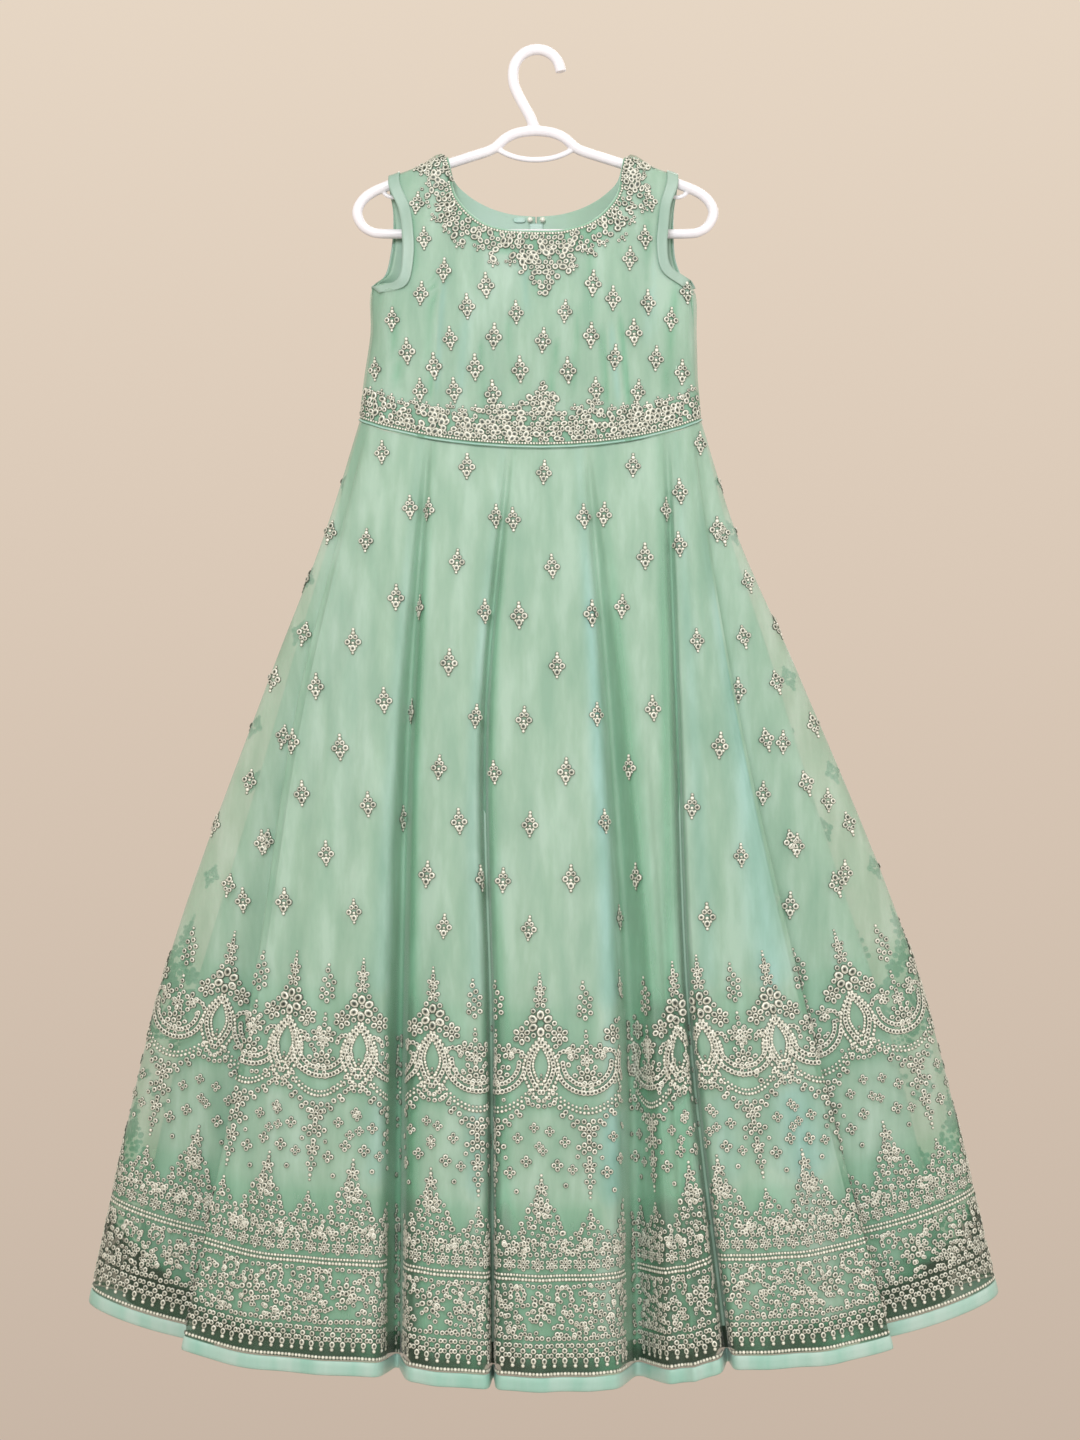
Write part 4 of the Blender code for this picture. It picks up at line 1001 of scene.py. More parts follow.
def make_bodice():
    """Overlay, satin lining and armhole strips, in front and behind; gives the grids of the overlay."""
    sides = {"front": front_places(), "back_left": back_places("left"), "back_right": back_places("right")}
    grids = {}
    for seed, (name, places) in enumerate(sides.items()):
        outer = pucker(refine(layer_grid(places, "overlay"), BODICE_STEPS), seed, OVERLAY_PUCKER)
        cloth = grid_object("overlay_bodice_" + name, outer)
        set_values(cloth, crease_painted_light(outer, PAINTED_CREASES if name == "front" else ()).ravel(), "painted_light")
        dress(cloth, ["bodice_" + name], NET)
        inner = pucker(refine(layer_grid(places, "lining"), BODICE_STEPS), seed + LINING_SEED, LINING_PUCKER)
        lining = grid_object("satin_bodice_" + name, inner)
        thicken(lining, LINING_THICKNESS)
        # Painted shade: the back pieces of the lining are darker all over
        set_values(lining, np.full(len(lining.data.vertices), 1.0 if name == "front" else BACK_LINING_SHADE))
        dress(lining, ["bodice_lining_" + name], LINING)
        grids[name] = outer
    for name, columns in STRIP_COLUMNS.items():
        places = sides[name] if name in sides else sides["front"]
        grid = refine(layer_grid(places, "trim")[columns, ARMHOLE_FIRST_ROW:], STRIP_STEPS)
        share = np.linspace(0.0, 1.0, grid.shape[0])[:, None, None]
        grid = grid + grid_normals(grid) * STRIP_CROWN * np.sin(math.pi * share)
        strip = grid_object("satin_armhole_" + name, grid)
        thicken(strip, STRIP_THICKNESS)
        dress(strip, ["armhole_strip_" + name], STRIP)
    return grids


# Skirt

CORNER_ROUNDS = 2
SKIRT_LEVELS = 82
CLOTH_END = 1.0 - BINDING_HEIGHT / SKIRT_LENGTH
CLOTH_LEVELS = np.linspace(0.0, CLOTH_END, SKIRT_LEVELS)
# Rows of the lining, then of a dark sheet of painted shade, for the shaded inside that shows through the net
# between the lining's end and the hem
LINING_ROWS = 62
SHADE_SHEET_ROWS = 6
SHADE_SHEET_END = 18.0
OVERLAY_DEPTH = 0.75

# Painted shade and painted sheen beside the folds, at half way down: how far right of the seam, spread, and
# tone, which is painted shade below nought and painted sheen above it
FOLD_SHADES_AND_SHEENS = {
    1: ((16.0, 9.0, -1.0), (-20.0, 10.0, 0.35)),
    2: ((13.0, 8.0, -0.9), (-15.0, 9.0, 0.45)),
    3: ((26.0, 14.0, -1.0), (-22.0, 12.0, 0.8)),
    4: ((-17.0, 10.0, -1.0), (24.0, 12.0, 0.35), (96.0, 22.0, 0.7)),
    6: ((12.0, 9.0, -0.7),),
    7: ((12.0, 9.0, -0.7),),
    8: ((-12.0, 9.0, -0.7),),
    9: ((-12.0, 9.0, -0.7),),
}
TONE_REACH = 0.8
# How much wider or narrower these zones are at the waist and at the hem, and how they set in from the waist
TONE_WIDTHS = (0.45, 1.35)
TONE_AT_WAIST = 0.25
TONE_ONSET = 5.0

# Painted shade on the ground under the dense rows of the border: between which heights, and its tone
SKIRT_GROUND_SHADES = ((30.0, 215.0, -0.75), (290.0, 430.0, -0.5))
SKIRT_GROUND_EDGES = (16.0, 30.0)
# Painted shade: the overlay is darker where no lining hangs behind it, for the shaded inside of the skirt
UNLINED_SHADE = 1.85
UNLINED_EDGE = 7.0

# Folded hem binding: down from the overlay's last row, and out from the cloth
BINDING_PROFILE = ((-1.2, 0.35), (0.0, 0.95), (5.0, 1.15), (10.0, 1.05), (13.2, 0.75), (14.2, 0.0),
                   (13.2, -0.8), (10.0, -1.05), (5.0, -1.1), (0.0, -0.9), (-1.2, -0.3))


def cut_corners(ring):
    """Chaikin's corner cutting on a closed ring."""
    ring = np.asarray(ring)
    for _ in range(CORNER_ROUNDS):
        after = np.roll(ring, -1, axis=0)
        ring = np.stack([ring * 0.75 + after * 0.25, ring * 0.25 + after * 0.75], axis=1).reshape(-1, 2)
    return ring


def fine_ring(level):
    """The smooth ring of the overlay at a level, and the fine column of each panel seam."""
    points, seams = [], []
    for item in skirt_outline(level):
        if not isinstance(item, tuple):
            points.append(item)
            continue
        first, bottom, last = item
        seams.append(len(points) + 2)
        points += [first, (first + bottom) / 2, bottom, (bottom + last) / 2, last]
    ring = cut_corners(points)
    scale = 2**CORNER_ROUNDS
    return ring, [scale * seam - (scale - 1) / 2 for seam in seams]


def inset_ring(ring, distance):
    along = unit(np.roll(ring, -1, axis=0) - np.roll(ring, 1, axis=0))
    return ring + np.stack([-along[:, 1], along[:, 0]], axis=1) * distance


def fine_lining_ring(ring, level):
    inset = LINING_INSET_WAIST + (LINING_INSET_HEM - LINING_INSET_WAIST) * level
    made = inset_ring(ring, inset)
    for _ in range(3):
        made = made * 0.5 + (np.roll(made, 1, axis=0) + np.roll(made, -1, axis=0)) * 0.25
    grown = float(smooth_step(level / LINING_SIDE_LEVEL))
    for side, sign in (("left", -1.0), ("right", 1.0)):
        share = np.clip(sign * (made[:, 0] - MIDDLE_X) / skirt_size(side, level), 0.0, 1.0)
        made[:, 0] -= sign * LINING_SIDE_INSET[side] * grown * share**LINING_SIDE_SHAPE
    return made


def lining_short(hem):
    """How much shorter than the overlay each column of the lining is; the back is longer than the front."""
    left, right = int(np.argmin(hem[:, 0])), int(np.argmax(hem[:, 0]))
    half = (hem[right, 0] - hem[left, 0]) / 2
    share = np.minimum(np.abs(hem[:, 0] - hem[left, 0] - half) / half, 1.0)
    order = (np.arange(len(hem)) - left) % len(hem)
    in_front = order <= (right - left) % len(hem)
    short = np.zeros(len(hem))
    for name, chosen in (("front", in_front), ("back", ~in_front)):
        rise = (LINING_SHORT["side"] - LINING_SHORT[name]) * share[chosen] ** LINING_HEM_SHAPES[name]
        short[chosen] = LINING_SHORT[name] + rise
    return short


def fold_painted_light(grid, seams):
    """Painted green shade and painted bluish sheen in upright zones beside the folds, wider towards the hem.
    """
    count, rows = grid.shape[:2]
    widen = np.linspace(*TONE_WIDTHS, rows)
    strength = np.clip(np.linspace(0.0, TONE_ONSET, rows), TONE_AT_WAIST, 1.0)
    painted_light = np.zeros((count, rows))
    for k, marks in FOLD_SHADES_AND_SHEENS.items():
        seam = seams[k]
        right_end = ((seams[(k + 1) % len(seams)] - seam) % count) * TONE_REACH
        left_end = ((seam - seams[k - 1]) % count) * TONE_REACH
        away = (np.arange(count) - seam + count / 2) % count - count / 2
        near = ((away > -left_end) & (away < right_end))[:, None]
        low = int(math.floor(seam)) % count
        across = grid[:, :, 0] - grid[low, :, 0]
        for centre, spread, amount in marks:
            zone = np.exp(-(((across - centre * widen) / (spread * widen)) ** 2))
            painted_light += near * amount * strength * zone
    return np.clip(painted_light, -1.0, 1.0)


def overlay_painted_light(whole, seams):
    """Painted light on the skirt overlay: painted shade and sheen beside folds, painted shade where it is
    unlined and under dense embroidery.
    """
    heights = (1.0 - CLOTH_LEVELS) * SKIRT_LENGTH
    unlined = np.clip((lining_short(whole[:, -1])[:, None] - heights[None, :]) / UNLINED_EDGE, 0.0, 1.0)
    painted_light = np.clip(fold_painted_light(whole[:, :-1], seams) - UNLINED_SHADE * unlined, -2.0, 1.0)
    for low_end, high_end, amount in SKIRT_GROUND_SHADES:
        inside = smooth_step((heights - low_end) / SKIRT_GROUND_EDGES[0])
        inside = inside * smooth_step((high_end - heights) / SKIRT_GROUND_EDGES[1])
        painted_light = np.clip(painted_light + amount * inside[None, :], -2.0, 1.0)
    return painted_light


def lining_grid(rings, levels):
    """The lining down to its own edge, and below it a dark sheet of painted shade for the shaded inside."""
    inner = hang([fine_lining_ring(ring, level) for ring, level in zip(rings, levels)], levels, LINING_SLACK)
    ends = (1.0 - lining_short(inner[:, -1]) / SKIRT_LENGTH) / CLOTH_END
    places = np.linspace(0.0, 1.0, SKIRT_LEVELS)
    low_end = (1.0 - SHADE_SHEET_END / SKIRT_LENGTH) / CLOTH_END
    made = []
    for column, end in zip(inner, ends):
        inside = np.linspace(end + 0.001, low_end, SHADE_SHEET_ROWS)
        wanted = np.concatenate([np.linspace(0.0, end, LINING_ROWS), inside])
        made.append(point_along(column, places, wanted).T)
    return np.array(made)


def make_skirt():
    """Panels of the sheer overlay, satin lining and hem binding; gives the grids and the seams."""
    levels = list(CLOTH_LEVELS)
    made = [fine_ring(level) for level in levels + [1.0]]
    seams = made[0][1]
    whole = hang([inset_ring(ring, OVERLAY_DEPTH) for ring, _ in made], levels + [1.0], WAIST_SLACK)
    overlay = grid_object("overlay_skirt", whole[:, :-1], closed=True)
    set_values(overlay, overlay_painted_light(whole, seams).ravel(), "painted_light")
    dress(overlay, [f"skirt_panel_{k:02d}" for k in range(1, len(seams) + 1)], NET)

    inner = lining_grid([ring for ring, _ in made[:-1]], levels)
    lining = grid_object("satin_skirt", inner, closed=True)
    # Painted shade: the rows below the lining's own end are dark, the rest keeps its colour
    set_values(lining, np.tile(np.arange(inner.shape[1]) < LINING_ROWS, inner.shape[0]).astype(float))
    dress(lining, ["skirt_lining_front", "skirt_lining_back"], LINING)

    top, low = whole[:, -2], whole[:, -1]
    down = unit(low - top)
    out = unit(np.cross(down, unit(np.roll(low, -1, axis=0) - np.roll(low, 1, axis=0))))
    rings = [top + down * fall + out * away for fall, away in BINDING_PROFILE]
    binding = grid_object("satin_hem_binding", np.array(rings).transpose(1, 0, 2), closed=True, tube=True)
    dress(binding, ["hem_binding"], SATIN)
    return whole, seams, ((overlay, whole[:, :-1], [binding]), (lining, inner[:, :LINING_ROWS], []))


# Waist piping and the closure

PIPING_PROUD = -0.5
PIPING_COLUMNS = 240
TRIM_THICKNESS = 0.9


def make_piping():
    path = []
    for k in range(PIPING_COLUMNS):
        angle = 2 * math.pi * k / PIPING_COLUMNS
        sizes = [size + PIPING_PROUD for size in bodice_size(WAIST_SIDE_Z)]
        path.append((*section_point(angle, *sizes), waist_height(angle) + PIPING_RADIUS + SEAM_GAP))
    points, faces = sweep(path, circle_profile(PIPING_RADIUS * 0.8, 10), True, (0.0, 0.0, 1.0))
    dress(new_object("satin_waist_piping", points, faces), ["waist_piping"], SATIN)


def make_closure():
    """Placket with its zip tape, button loop tab, and two beaded buttons, inside the back of the neck."""
    top = neck_height(NECK_MIDDLE_X, True) - 1.0
    ahead = np.array([0.0, -0.5, 0.0])
    drops = np.linspace(top - PLACKET_START, top - PLACKET_LENGTH, 60)
    places = np.linspace(-PLACKET_HALF_WIDTH, PLACKET_HALF_WIDTH, 9)
    strip = np.array([[inside_back(x, z) for z in drops] for x in places]) + ahead
    strip[len(places) // 2, :, 1] -= 0.5
    tab = []
    for share in np.linspace(0.0, 1.0, 13):
        half = TAB_HEIGHT / 2 * math.sqrt(max(0.0, 1.0 - abs(2 * share - 1) ** 3.5)) + 0.05
        x = TAB_SPAN[0] + (TAB_SPAN[1] - TAB_SPAN[0]) * share
        heights = [top - TAB_HEIGHT / 2 + half * row for row in np.linspace(-1.0, 1.0, 7)]
        tab.append([inside_back(x, z) + ahead for z in heights])
    trims = (("closure_placket", strip, "back_placket"), ("closure_tab", np.array(tab), "neck_tab"))
    for name, grid, cad_node in trims:
        piece = grid_object(name, grid)
        thicken(piece, TRIM_THICKNESS)
        dress(piece, [cad_node], SATIN)
    for side, x in BUTTON_X.items():
        centre = inside_back(x, top - BUTTON_RADIUS) + np.array([0.0, -BUTTON_RADIUS, 0.0])
        shape = bmesh.new()
        bmesh.ops.create_icosphere(shape, subdivisions=4, radius=BUTTON_RADIUS * 0.96)
        points = []
        for vertex in shape.verts:
            direction = vertex.co.normalized()
            facet = 0.06 * math.sin(9 * math.atan2(direction.x, direction.z)) * math.sin(7 * direction.y)
            points.append(np.array(vertex.co) * (1.0 + facet) + centre)
        faces = [[v.index for v in face.verts] for face in shape.faces]
        shape.free()
        button = new_object("closure_button_" + side, points, faces)
        set_values(button, np.ones(len(points)))
        dress(button, ["neck_button_" + side], SILVER)


# Embroidery elements, in millimetres on the cloth: across, up and out

def raised_shape(sides, rims, heart):
    """Points, shades and faces of an element.

    rims are its radii, each with a height and a shade; heart is the height and shade of its middle.
    """
    points, shades, faces = [], [], []
    for radius, height, shade in rims:
        for k in range(sides):
            angle = 2 * math.pi * k / sides
            points.append((radius * math.cos(angle), radius * math.sin(angle), height))
            shades.append(shade)
    points.append((0.0, 0.0, heart[0]))
    shades.append(heart[1])
    for k in range(sides):
        other = (k + 1) % sides
        faces += [(k, other, sides + other), (k, sides + other, sides + k),
                  (sides + k, sides + other, 2 * sides)]
    return np.array(points), np.array(shades), np.array(faces)


# Shades of the elements: each dark outer rim is a painted shadow round the raised element, and a pearl
# brightest on top carries a painted highlight
SHAPES = {"ring": raised_shape(7, ((1.0, 0.0, 0.04), (0.68, 0.6, 1.1)), (0.1, -0.25)),
          "pearl": raised_shape(6, ((1.0, 0.0, 0.15), (0.62, 0.6, 0.85)), (0.85, 1.1))}
RISES = {"ring": 1.5, "pearl": 1.2}
RISE_SHARE = 0.55
# Painted sparkle: each element is made a little lighter or darker than the next
PAINTED_SPARKLE = 0.1
ELEMENT_SIZE = 1.2
LIFT = 0.25


class Stitches:
    """Collects elements and turns them into one piece."""

    def __init__(self):
        self.points = []
        self.shades = []
        self.faces = []
        self.count = 0

    def add(self, kind, place, right, up, out, wide, high):
        points, shades, faces = SHAPES[kind]
        shades = shades + PAINTED_SPARKLE * math.sin(2.4 * len(self.points))
        rise = min(wide, high) / 2 * RISE_SHARE * RISES[kind]
        made = (place + out * LIFT + np.outer(points[:, 0] * wide / 2, right)
                + np.outer(points[:, 1] * high / 2, up) + np.outer(points[:, 2] * rise, out))
        self.points.append(made)
        self.shades.append(shades)
        self.faces.append(faces + self.count)
        self.count += len(points)

    def piece(self, name, cad_nodes=()):
        made = new_object(name, np.concatenate(self.points), np.concatenate(self.faces))
        set_values(made, np.concatenate(self.shades))
        return dress(made, list(cad_nodes), SILVER)


def stamp(stitches, locate, motif, x=0.0, y=0.0, scale=1.0, turn=0.0):
    """Puts a motif on the cloth. locate gives the place, right, up and out at a cloth coordinate."""
    cosine, sine = math.cos(turn), math.sin(turn)
    for kind, dx, dy, wide, high, spin in motif:
        u = x + (dx * cosine - dy * sine) * scale
        v = y + (dx * sine + dy * cosine) * scale
        found = locate(u, v)
        if found is None:
            continue
        place, right, up, out = found
        angle = turn + math.radians(spin)
        across = right * math.cos(angle) + up * math.sin(angle)
        upward = up * math.cos(angle) - right * math.sin(angle)
        size = scale * ELEMENT_SIZE
        stitches.add(kind, place, across, upward, out, wide * size, high * size)


def ring(dx, dy, size=5.0, stretch=1.0, spin=0.0):
    return ("ring", dx, dy, size, size * stretch, spin)


def pearl(dx, dy, size=3.2):
    return ("pearl", dx, dy, size, size, 0.0)


def petals(count, radius, size, stretch=1.3, first=90.0, dx=0.0, dy=0.0):
    made = []
    for k in range(count):
        degrees = first + 360.0 * k / count
        angle = math.radians(degrees)
        x, y = dx + radius * math.cos(angle), dy + radius * math.sin(angle)
        made.append(ring(x, y, size, stretch, degrees - 90.0))
    return made


def rosette(dx, dy, radius=5.3, size=4.4, count=6, heart=4.6):
    return [ring(dx, dy, heart)] + petals(count, radius, size, 1.2, 90.0, dx, dy)


def pyramid(counts, base, step=6.3, pitch=7.0):
    """Stepped rows of rings that narrow upwards."""
    made = []
    for row, count in enumerate(counts):
        for k in range(count):
            size = 5.1 + 1.0 * math.sin(7.0 * k + 3.0 * row)
            across = (k - (count - 1) / 2) * pitch + 1.2 * math.sin(4.0 * k + 2.3 * row)
            height = base + row * step + 1.6 * math.sin(5.0 * k + row)
            made.append(ring(across, height, size, 1.0 + 0.2 * math.sin(3.0 * k + 2.0 * row), 40.0 * k))
    return made


def arc_of(radius, start, end, size, gap, dx=0.0, dy=0.0, flatten=1.0):
    """Rings along an arc about (dx, dy), angles in degrees."""
    count = max(2, int(round(abs(math.radians(end - start)) * radius / gap)) + 1)
    made = []
    for degrees in np.linspace(start, end, count):
        angle = math.radians(degrees)
        x, y = dx + radius * math.cos(angle), dy + radius * flatten * math.sin(angle)
        made.append(("ring", x, y, size, size * 1.1, degrees))
    return made


def pointed_oval(half_wide, half_high, centre, size, gap, kind="ring"):
    """Elements round a pointed oval that stands upright."""
    made = []
    steps = max(3, int(round(2.1 * half_high / gap)))
    for side in (-1.0, 1.0):
        for k in range(steps):
            share = -1.0 + 2.0 * (k + 0.5) / steps
            x = side * half_wide * (1.0 - abs(share) ** 1.7)
            made.append((kind, x, centre + half_high * share, size, size * 1.15, -25.0 * side * share))
    return made


def rings_at(places, size):
    return [ring(dx, dy, size, 1.08, 37.0 * k) for k, (dx, dy) in enumerate(places)]


def mirrored(places):
    """The places and their mirror images."""
    return [(sign * dx, dy) for dx, dy in places for sign in (-1.0, 1.0)]


# Small diamond cluster that is scattered over the dress
BUTI = [ring(0, 8.2, 7.2, 1.1), pearl(0, 13.6, 3.6), ring(-6.0, 1.2, 6.8), ring(6.0, 1.2, 6.8),
        pearl(-3.8, 6.0, 3.4), pearl(3.8, 6.0, 3.4), pearl(0, 2.4, 4.0), ring(-2.6, -4.4, 5.6),
        ring(2.6, -4.4, 5.6), pearl(0, -9.0, 5.0), pearl(0, -13.0, 3.8)]

# Border motifs, with heights above the hem. The tall one stands at each whole repeat of the border.
TALL_MOTIF = (
    pyramid((11, 10, 9, 8, 7, 7, 6, 5, 4, 3, 2), 151.0, 6.0) + rosette(0.0, 218.0, 4.6, 5.0, 5, 5.0)
    + [pearl(0, 227.5, 4.4), pearl(0, 232.5, 3.4)] + rosette(0.0, 196.0, 7.0, 5.6, 7, 6.4)
    + pointed_oval(9.0, 22.0, 352.0, 3.4, 3.2, "pearl") + pointed_oval(14.0, 29.0, 350.0, 5.6, 4.0)
    + pointed_oval(20.0, 36.0, 347.0, 4.0, 4.2, "pearl")
    + rosette(-21.0, 384.0, 7.0, 6.2, 6, 6.0) + rosette(21.0, 384.0, 7.0, 6.2, 6, 6.0)
    + rosette(-36.0, 366.0, 6.0, 5.6, 5, 5.4) + rosette(36.0, 366.0, 6.0, 5.6, 5, 5.4)
    + rings_at(mirrored(((3.0, 314.0), (3.4, 307.5), (8.5, 317.0), (13.0, 322.0), (9.5, 309.0),
                         (15.0, 314.0))), 5.0)
    + petals(6, 9.4, 8.6, 1.25, 90.0, 0.0, 398.0) + petals(6, 15.4, 6.0, 1.0, 60.0, 0.0, 398.0)
    + rosette(0.0, 422.0, 5.2, 5.0, 5, 5.2) + rosette(0.0, 435.0, 4.4, 4.8, 5, 4.6)
    + [ring(0, 443.5, 4.8), pearl(0, 448.5, 3.6), pearl(0, 452.5, 2.8)]
    + rosette(0.0, 88.0, 8.6, 6.0, 7, 6.8) + petals(10, 15.0, 4.6, 1.2, 18.0, 0.0, 88.0)
    + arc_of(8.0, -60.0, 200.0, 5.0, 4.8, -26.0, 103.0) + arc_of(8.0, -20.0, 240.0, 5.0, 4.8, 26.0, 103.0)
    + rings_at(mirrored(((26.0, 103.0), (22.0, 78.0), (28.0, 84.0), (19.0, 70.0), (33.0, 92.0))), 5.2)
)

# The low one stands between two tall ones, with the crescent, the swag and the pendant above it
LOW_MOTIF = (
    pyramid((10, 9, 7, 6, 4, 3, 2), 151.0, 5.8) + [ring(0, 189, 5.2), pearl(0, 194.0, 3.4)]
    + arc_of(34.0, -170.0, -10.0, 6.0, 4.4, 0.0, 352.0, 0.92)
    + arc_of(27.0, -180.0, 0.0, 5.6, 4.2, 0.0, 354.0, 0.92)
    + arc_of(8.0, 0.0, 160.0, 5.2, 4.8, -25.0, 359.0) + arc_of(8.0, 20.0, 180.0, 5.2, 4.8, 25.0, 359.0)
    + rosette(0.0, 338.0, 7.6, 6.0, 7, 6.4) + petals(9, 13.8, 5.0, 1.2, 10.0, 0.0, 338.0)
    + rosette(0.0, 358.0, 5.0, 5.0, 6, 4.8)
    + [ring(0, 367.5, 5.2), ring(-4.6, 371.5, 4.8), ring(4.6, 371.5, 4.8), ring(0, 376.5, 5.4),
       ring(0, 383, 5.0), pearl(0, 388.5, 3.6)]
    + rings_at(((0.0, 403.0), (-6.4, 407.0), (6.0, 408.5), (-1.0, 411.0), (5.0, 416.0), (-6.0, 415.0),
                (0.0, 420.5), (6.4, 424.0), (-4.4, 426.0), (2.0, 430.0), (-1.6, 436.5)), 5.6)
    + [pearl(-1.0, 442.5, 3.6)]
    + rings_at(mirrored(((5.0, 290.0), (12.5, 290.0), (9.0, 283.0), (19.5, 295.0), (25.5, 300.5),
                         (17.0, 286.5), (31.5, 306.0), (38.0, 311.0), (29.0, 297.0))), 5.8)
    + rosette(0.0, 279.0, 6.4, 5.8, 6, 6.0)
    + rings_at(mirrored(((5.2, 264.5), (11.5, 262.0), (5.6, 257.0))), 5.8)
    + rings_at(((0.0, 268.0), (0.0, 260.5), (0.0, 250.0)), 5.8) + rosette(0.0, 241.0, 5.0, 5.2, 5, 5.2)
    + rings_at(((0.0, 230.5), (-3.6, 224.5), (3.6, 224.5), (0.0, 219.0)), 5.2)
    + [pearl(0, 212.5, 4.4), pearl(0, 207.5, 3.2)]
    + pyramid((11, 11, 10, 9, 8, 6, 4, 3, 1), 61.0, 6.2)
)

# Loose clusters on the plain cloth between the rows of motifs: across, height, and the size of their rings
LOOSE_CLUSTERS = (
    (-27, 268, 4.4), (27, 272, 4.2), (-36, 243, 4.8), (37, 247, 4.6), (-19, 238, 4.0), (19, 234, 4.8),
    (-44, 280, 4.0), (45, 284, 4.0), (-27, 221, 3.2), (27, 214, 3.2), (-52, 259, 3.8), (51, 264, 3.8),
    (-13, 252, 3.0), (14, 250, 2.8), (-42, 392, 3.2), (41, 400, 3.0),
)
SMALLEST_CLUSTER = 3.5

# Hidden fold walls carry no embroidery: reach from a seam, steepness, and how far across they lie
WALL_REACH = 34.0
WALL_SLOPE = 0.35
WALL_ACROSS = 330.0
# Bare margin at a panel's seams, and the step either way that gives the cloth's direction
SEAM_MARGIN = 1.5
PROBE_STEP = 1.2

BORDER_REPEAT = 118.0
# Where the tall motif of each panel stands, from the panel's middle, at the hem
BORDER_SHIFTS = (-54.0, -17.0, -22.0, 20.0, 42.0, 0.0, 0.0, 0.0, 0.0, 0.0)
# Swag of two pearl lines: lowest height, and its rise to the tall motifs
SWAG_HEIGHT = 299.0
SWAG_RISE = 38.0
SWAG_PEARLS = 25
SWAG_SPLIT = 4.6
FRINGE_DROP = [ring(-3.6, 49.0, 5.4), ring(3.6, 49.0, 5.4), ring(0, 43.5, 6.0),
               ring(-3.8, 38.5, 5.2, 1.1, 20.0), ring(3.8, 38.5, 5.2, 1.1, -20.0), ring(0, 33.0, 5.8, 1.25),
               pearl(0, 27.4, 4.4)]
FRINGE_GAP = 11.8
FLOWER_HEIGHT = 136.0
FLOWER_GAP = 15.6
# Lines of pearls, then of loosely set rings, along the hem: height, size and gap
PEARL_LINES = ((19.0, 4.0, 3.9), (119.5, 4.0, 3.7), (124.0, 3.4, 3.4))
RING_LINES = ((146.0, 5.4, 6.6), (57.0, 5.4, 6.0), (112.5, 5.0, 6.4))
# Fine filling between the motifs: rings for each millimetre of the hem, and the heights that they lie between
BORDER_FILLS = ((0.45, 60.0, 112.0), (0.2, 148.0, 160.0), (0.14, 304.0, 376.0))
CLEAR_ABOVE = 300.0
CLEAR_BESIDE = 15.0
# Which panels each piece of the border covers
BORDER_GROUPS = {"front_left": (0, 1), "front_middle": (2, 3), "front_right": (4,), "right": (5, 6),
                 "back": (7,), "left": (8, 9)}


class PanelMap:
    """Cloth coordinates of one skirt panel: across from its middle, and height above the hem."""

    def __init__(self, whole, first, last):
        count = whole.shape[0]
        if last <= first:
            last += count
        columns = np.concatenate([[first], np.arange(math.ceil(first + 1e-6), last), [last]])
        low = np.floor(columns).astype(int)
        share = (columns - low)[:, None, None]
        points = whole[low % count] * (1.0 - share) + whole[(low + 1) % count] * share
        self.points = points.transpose(1, 0, 2)
        self.runs = runs_along(self.points)
        self.widths = self.runs[:, -1]
        self.hem_width = self.widths[-1]
        self.heights = (1.0 - np.append(CLOTH_LEVELS, 1.0)) * SKIRT_LENGTH

    def row_at(self, height):
        """The row just above a height, and the share of the way down to the next."""
        row = int(np.searchsorted(-self.heights, -height)) - 1
        row = min(max(row, 0), len(self.heights) - 2)
        return row, (self.heights[row] - height) / (self.heights[row] - self.heights[row + 1])

    def scale(self, height):
        row, _ = self.row_at(height)
        return self.widths[row] / self.hem_width

    def locate(self, across, height, offset=0.0):
        """Place, right, up and out; across stretches with the panel's width and offset doesn't."""
        row, share = self.row_at(height)
        found = []
        for j in (row, row + 1):
            at = self.widths[j] * (0.5 + across / self.hem_width) + offset
            if not SEAM_MARGIN < at < self.widths[j] - SEAM_MARGIN:
                return None
            probes = (at - PROBE_STEP, at, at + PROBE_STEP)
            found.append([point_along(self.points[j], self.runs[j], probe) for probe in probes])
        found = np.array(found)
        place = found[0, 1] * (1.0 - share) + found[1, 1] * share
        right = unit((found[0, 2] - found[0, 0]) * (1.0 - share) + (found[1, 2] - found[1, 0]) * share)
        up = found[0, 1] - found[1, 1]
        up = unit(up - right * float(up @ right))
        out = np.cross(right, up)
        from_seam = min(at, self.widths[row + 1] - at)
        if from_seam < WALL_REACH and abs(out[1]) < WALL_SLOPE and abs(place[0]) < WALL_ACROSS:
            return None
        return place, right, up, out


